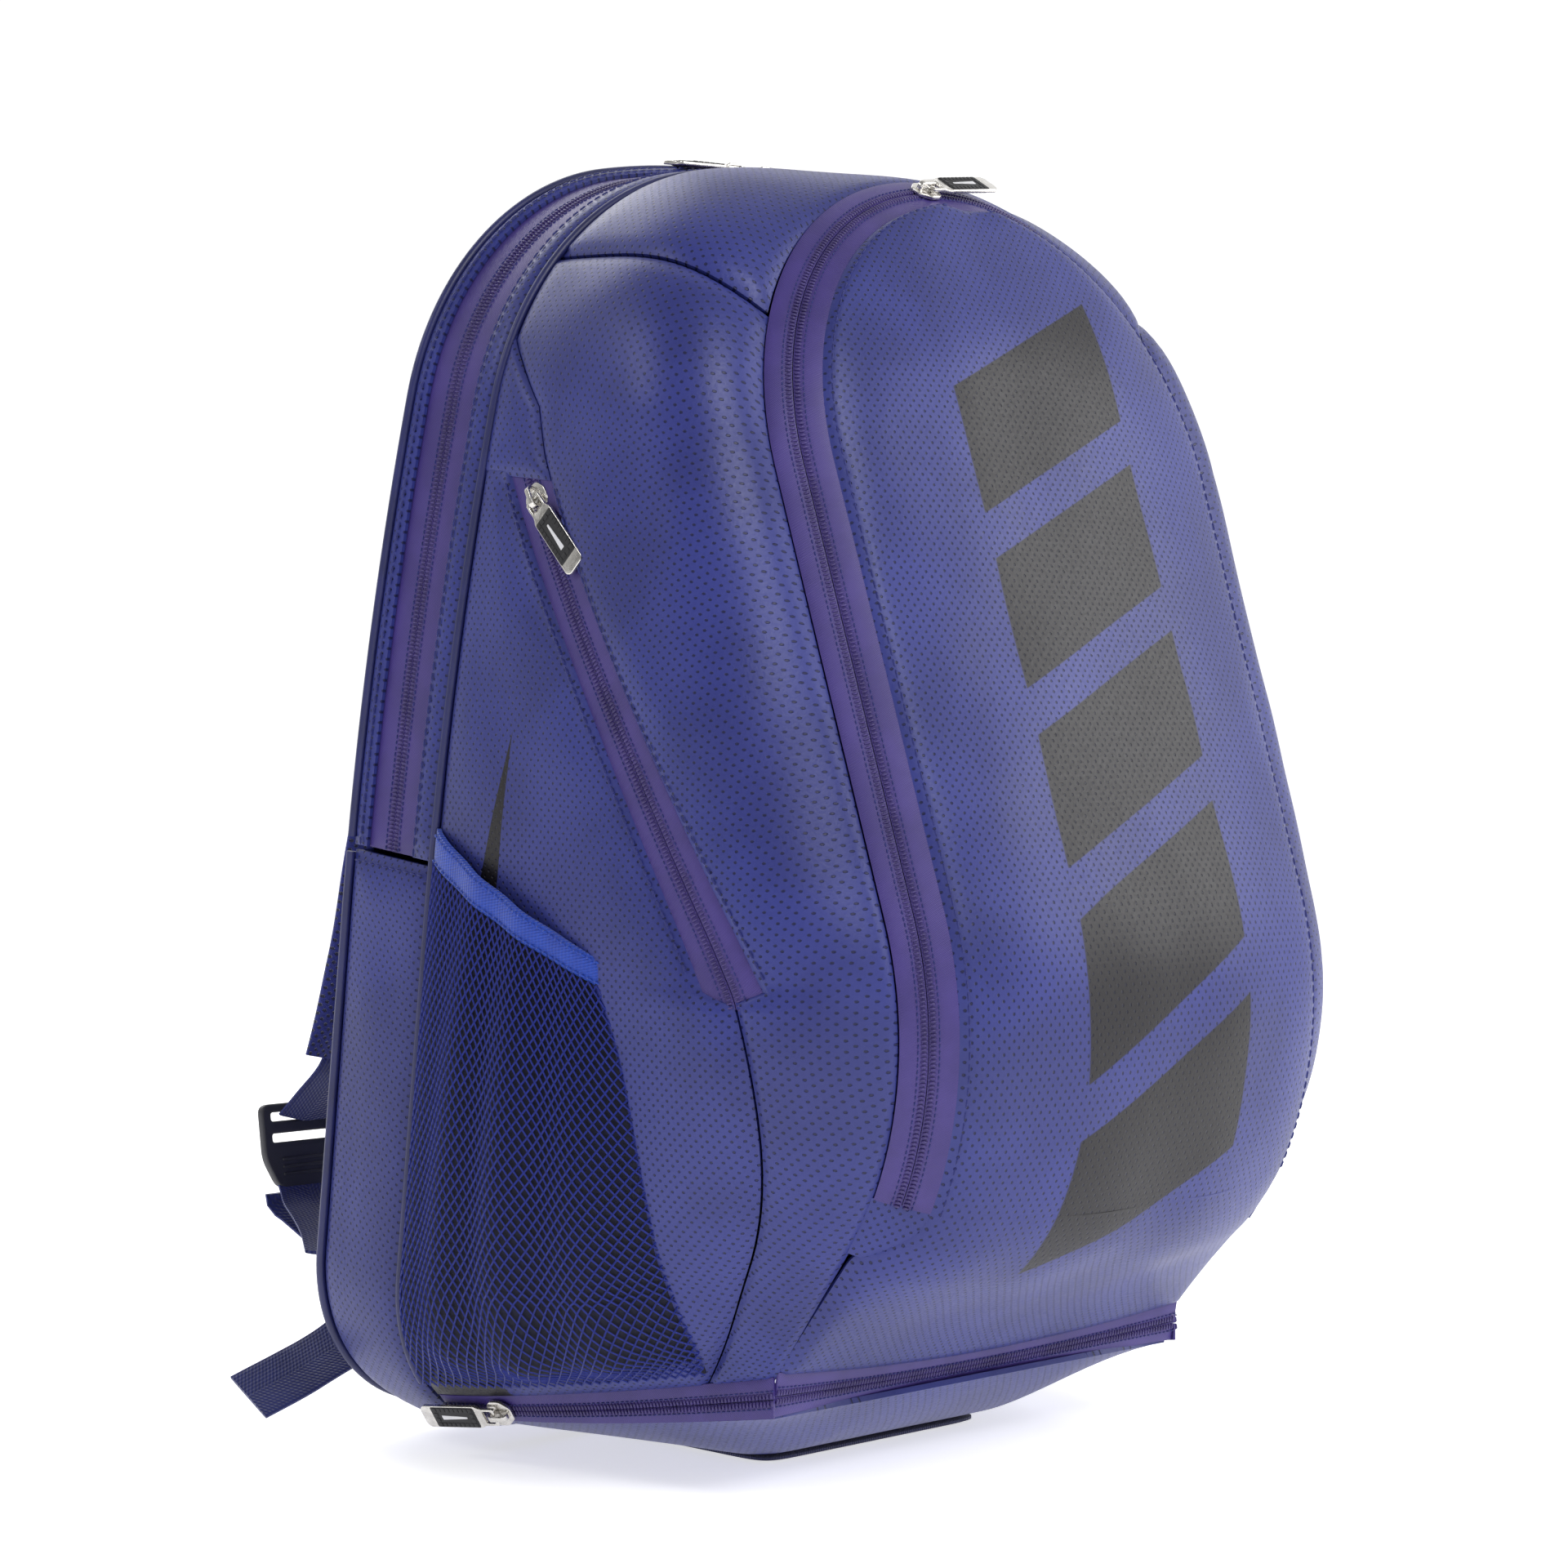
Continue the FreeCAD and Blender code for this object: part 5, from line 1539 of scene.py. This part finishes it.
def make_yoke():
    """Leather piece that covers the straps' upper ends."""
    def yoke(a, b):
        depth = REAR_DEPTH + BACK_PANEL + 0.6 + 3.2 * a
        return rear_point(-98 + 196 * b, 470 - 26 * a, depth)
    thing = panel("strap_yoke", yoke, (12, 60), [LEATHER, LEATHER], puff=1.0, tuck=0.4, seam=4,
                  thick=1.6, unevenness=0.2)
    piece(thing, "back_flap", ())


def make_harness():
    for name, side in SIDES:
        make_strap(name, side)
        make_webbing(name, side)
        make_lock(name, side)
    make_yoke()


def make_lock(name, side):
    """Ladder lock: three bars in a rounded frame, with a flared tab."""
    outside = corner_loop([(-19, 12), (19, 12), (19, -10), (13, -22), (-13, -22), (-19, -10)], 4, 6)
    holes = [box_loop(-14.5, 5, 14.5, 8.5, 1.2), box_loop(-14.5, -3.5, 14.5, 0, 1.2)]
    parts = [(plate([outside] + holes, 3.8, 1.0, upright=True), PLASTIC)]
    for y in (-11, -14, -17):
        rib = plate([box_loop(-11, y, 11, y + 1.2, 0.5)], 5.0, 0.4, upright=True)
        parts.append((rib, PLASTIC))
    place = Matrix.Translation((side * 0.120, 0.177, 0.113))
    thing = join_meshes(f"lock_{name}", parts, place @ Matrix.Rotation(math.radians(-8), 4, "X"))
    piece(thing, f"ladder_lock_{name}", [f"ladder_lock_{name}"])


def make_handle():
    """Haul loop of webbing behind the top of the back panel."""
    depth = REAR_DEPTH + BACK_PANEL + 11
    feet = ((31, -12, -10.2), (30.5, -6, -6))
    loop = ((30, 0, 0), (28.5, 18, 0), (20, 32, 0), (7, 38, 0))
    half = [rear_point(x, 455 - fall, depth + out) for x, fall, out in feet + loop]
    other = [point * np.array([-1, 1, 1]) for point in reversed(half)]
    route = spline(half + other, 3)
    section = rounded_section(19.5, 1.6, 16, 6)
    thing = loft("handle", route, along_depth, lambda share: section, WEBBING)
    piece(thing, "haul_handle", ["haul_handle"])


# --- camera, light, floor ----------------------------------------------------------------------------

WORLD_DIM = 0.28
WORLD_BRIGHT = 1.08


def make_camera(scene):
    """Level view of the front left corner, from beside the front pocket."""
    camera = bpy.data.objects.new("camera", bpy.data.cameras.new("camera"))
    scene.collection.objects.link(camera)
    camera.data.sensor_width = 36
    camera.data.lens = 82.9
    camera.data.clip_end = 50
    camera.location = (-1.0112, -0.9912, 0.285)
    camera.rotation_euler = (math.radians(90 - 1.244), 0, math.radians(-45))
    scene.camera = camera


def make_floor():
    """White sheet, which glows a little so that it stays white."""
    half, level = 6000, -0.5
    corners = [(-half, -half, level), (half, -half, level), (half, half, level), (-half, half, level)]
    white = (0.95, 0.95, 0.95, 1)
    sheet = moulded("floor", white, white, 0.8)
    surface = sheet.node_tree.nodes["Principled BSDF"]
    surface.inputs["Emission Color"].default_value = (1, 1, 1, 1)
    surface.inputs["Emission Strength"].default_value = 0.6
    make_mesh("floor", corners, [(0, 1, 2, 3)], [(0, 0)] * 4, [sheet])


def make_world(scene):
    """White surroundings, bright behind the bag and dim on the side that the bag mirrors."""
    world = bpy.data.worlds.new("studio")
    scene.world = world
    world.use_nodes = True
    nodes = world.node_tree.nodes
    direction = nodes.new("ShaderNodeTexCoord").outputs["Generated"]
    facing = nodes.new("ShaderNodeVectorMath")
    facing.operation = "DOT_PRODUCT"
    facing.inputs[1].default_value = (0.7071, 0.7071, 0.0)
    level = nodes.new("ShaderNodeMapRange")
    for socket, value in zip(level.inputs[1:5], (-0.1, 0.8, WORLD_DIM, WORLD_BRIGHT)):
        socket.default_value = value
    link = world.node_tree.links.new
    link(direction, facing.inputs[0])
    link(facing.outputs["Value"], level.inputs[0])
    link(level.outputs[0], nodes["Background"].inputs[1])
    nodes["Background"].inputs[0].default_value = (1, 1, 1, 1)
    scene.view_settings.view_transform = "Standard"


def make_lamps(scene):
    """Soft boxes around the bag, all aimed at its middle."""
    lamps = (("key", (-0.4, -1.9, 1.8), 1.0, 27), ("fill", (1.7, -1.5, 1.1), 1.2, 20),
             ("back", (0.4, 1.9, 1.6), 1.4, 16), ("left", (-1.8, 0.7, 1.6), 0.6, 8))
    for name, place, size, power in lamps:
        lamp = bpy.data.objects.new(name, bpy.data.lights.new(name, "AREA"))
        lamp.data.size = size
        lamp.data.energy = power
        lamp.location = place
        aim = Vector((0, 0, 0.25)) - Vector(place)
        lamp.rotation_euler = aim.to_track_quat("-Z", "Y").to_euler()
        scene.collection.objects.link(lamp)


def make_stage():
    scene = bpy.context.scene
    make_camera(scene)
    make_floor()
    make_world(scene)
    make_lamps(scene)


make_stage()
make_rear_unit()
make_piping()
make_back()
make_wall()
make_pockets()
make_front()
make_base()
make_hardware()
make_harness()
make_handle()
sleeve_materials = frame["nodes"]["laptop_sleeve"].data.materials
sleeve_materials.clear()
sleeve_materials.append(LINING)
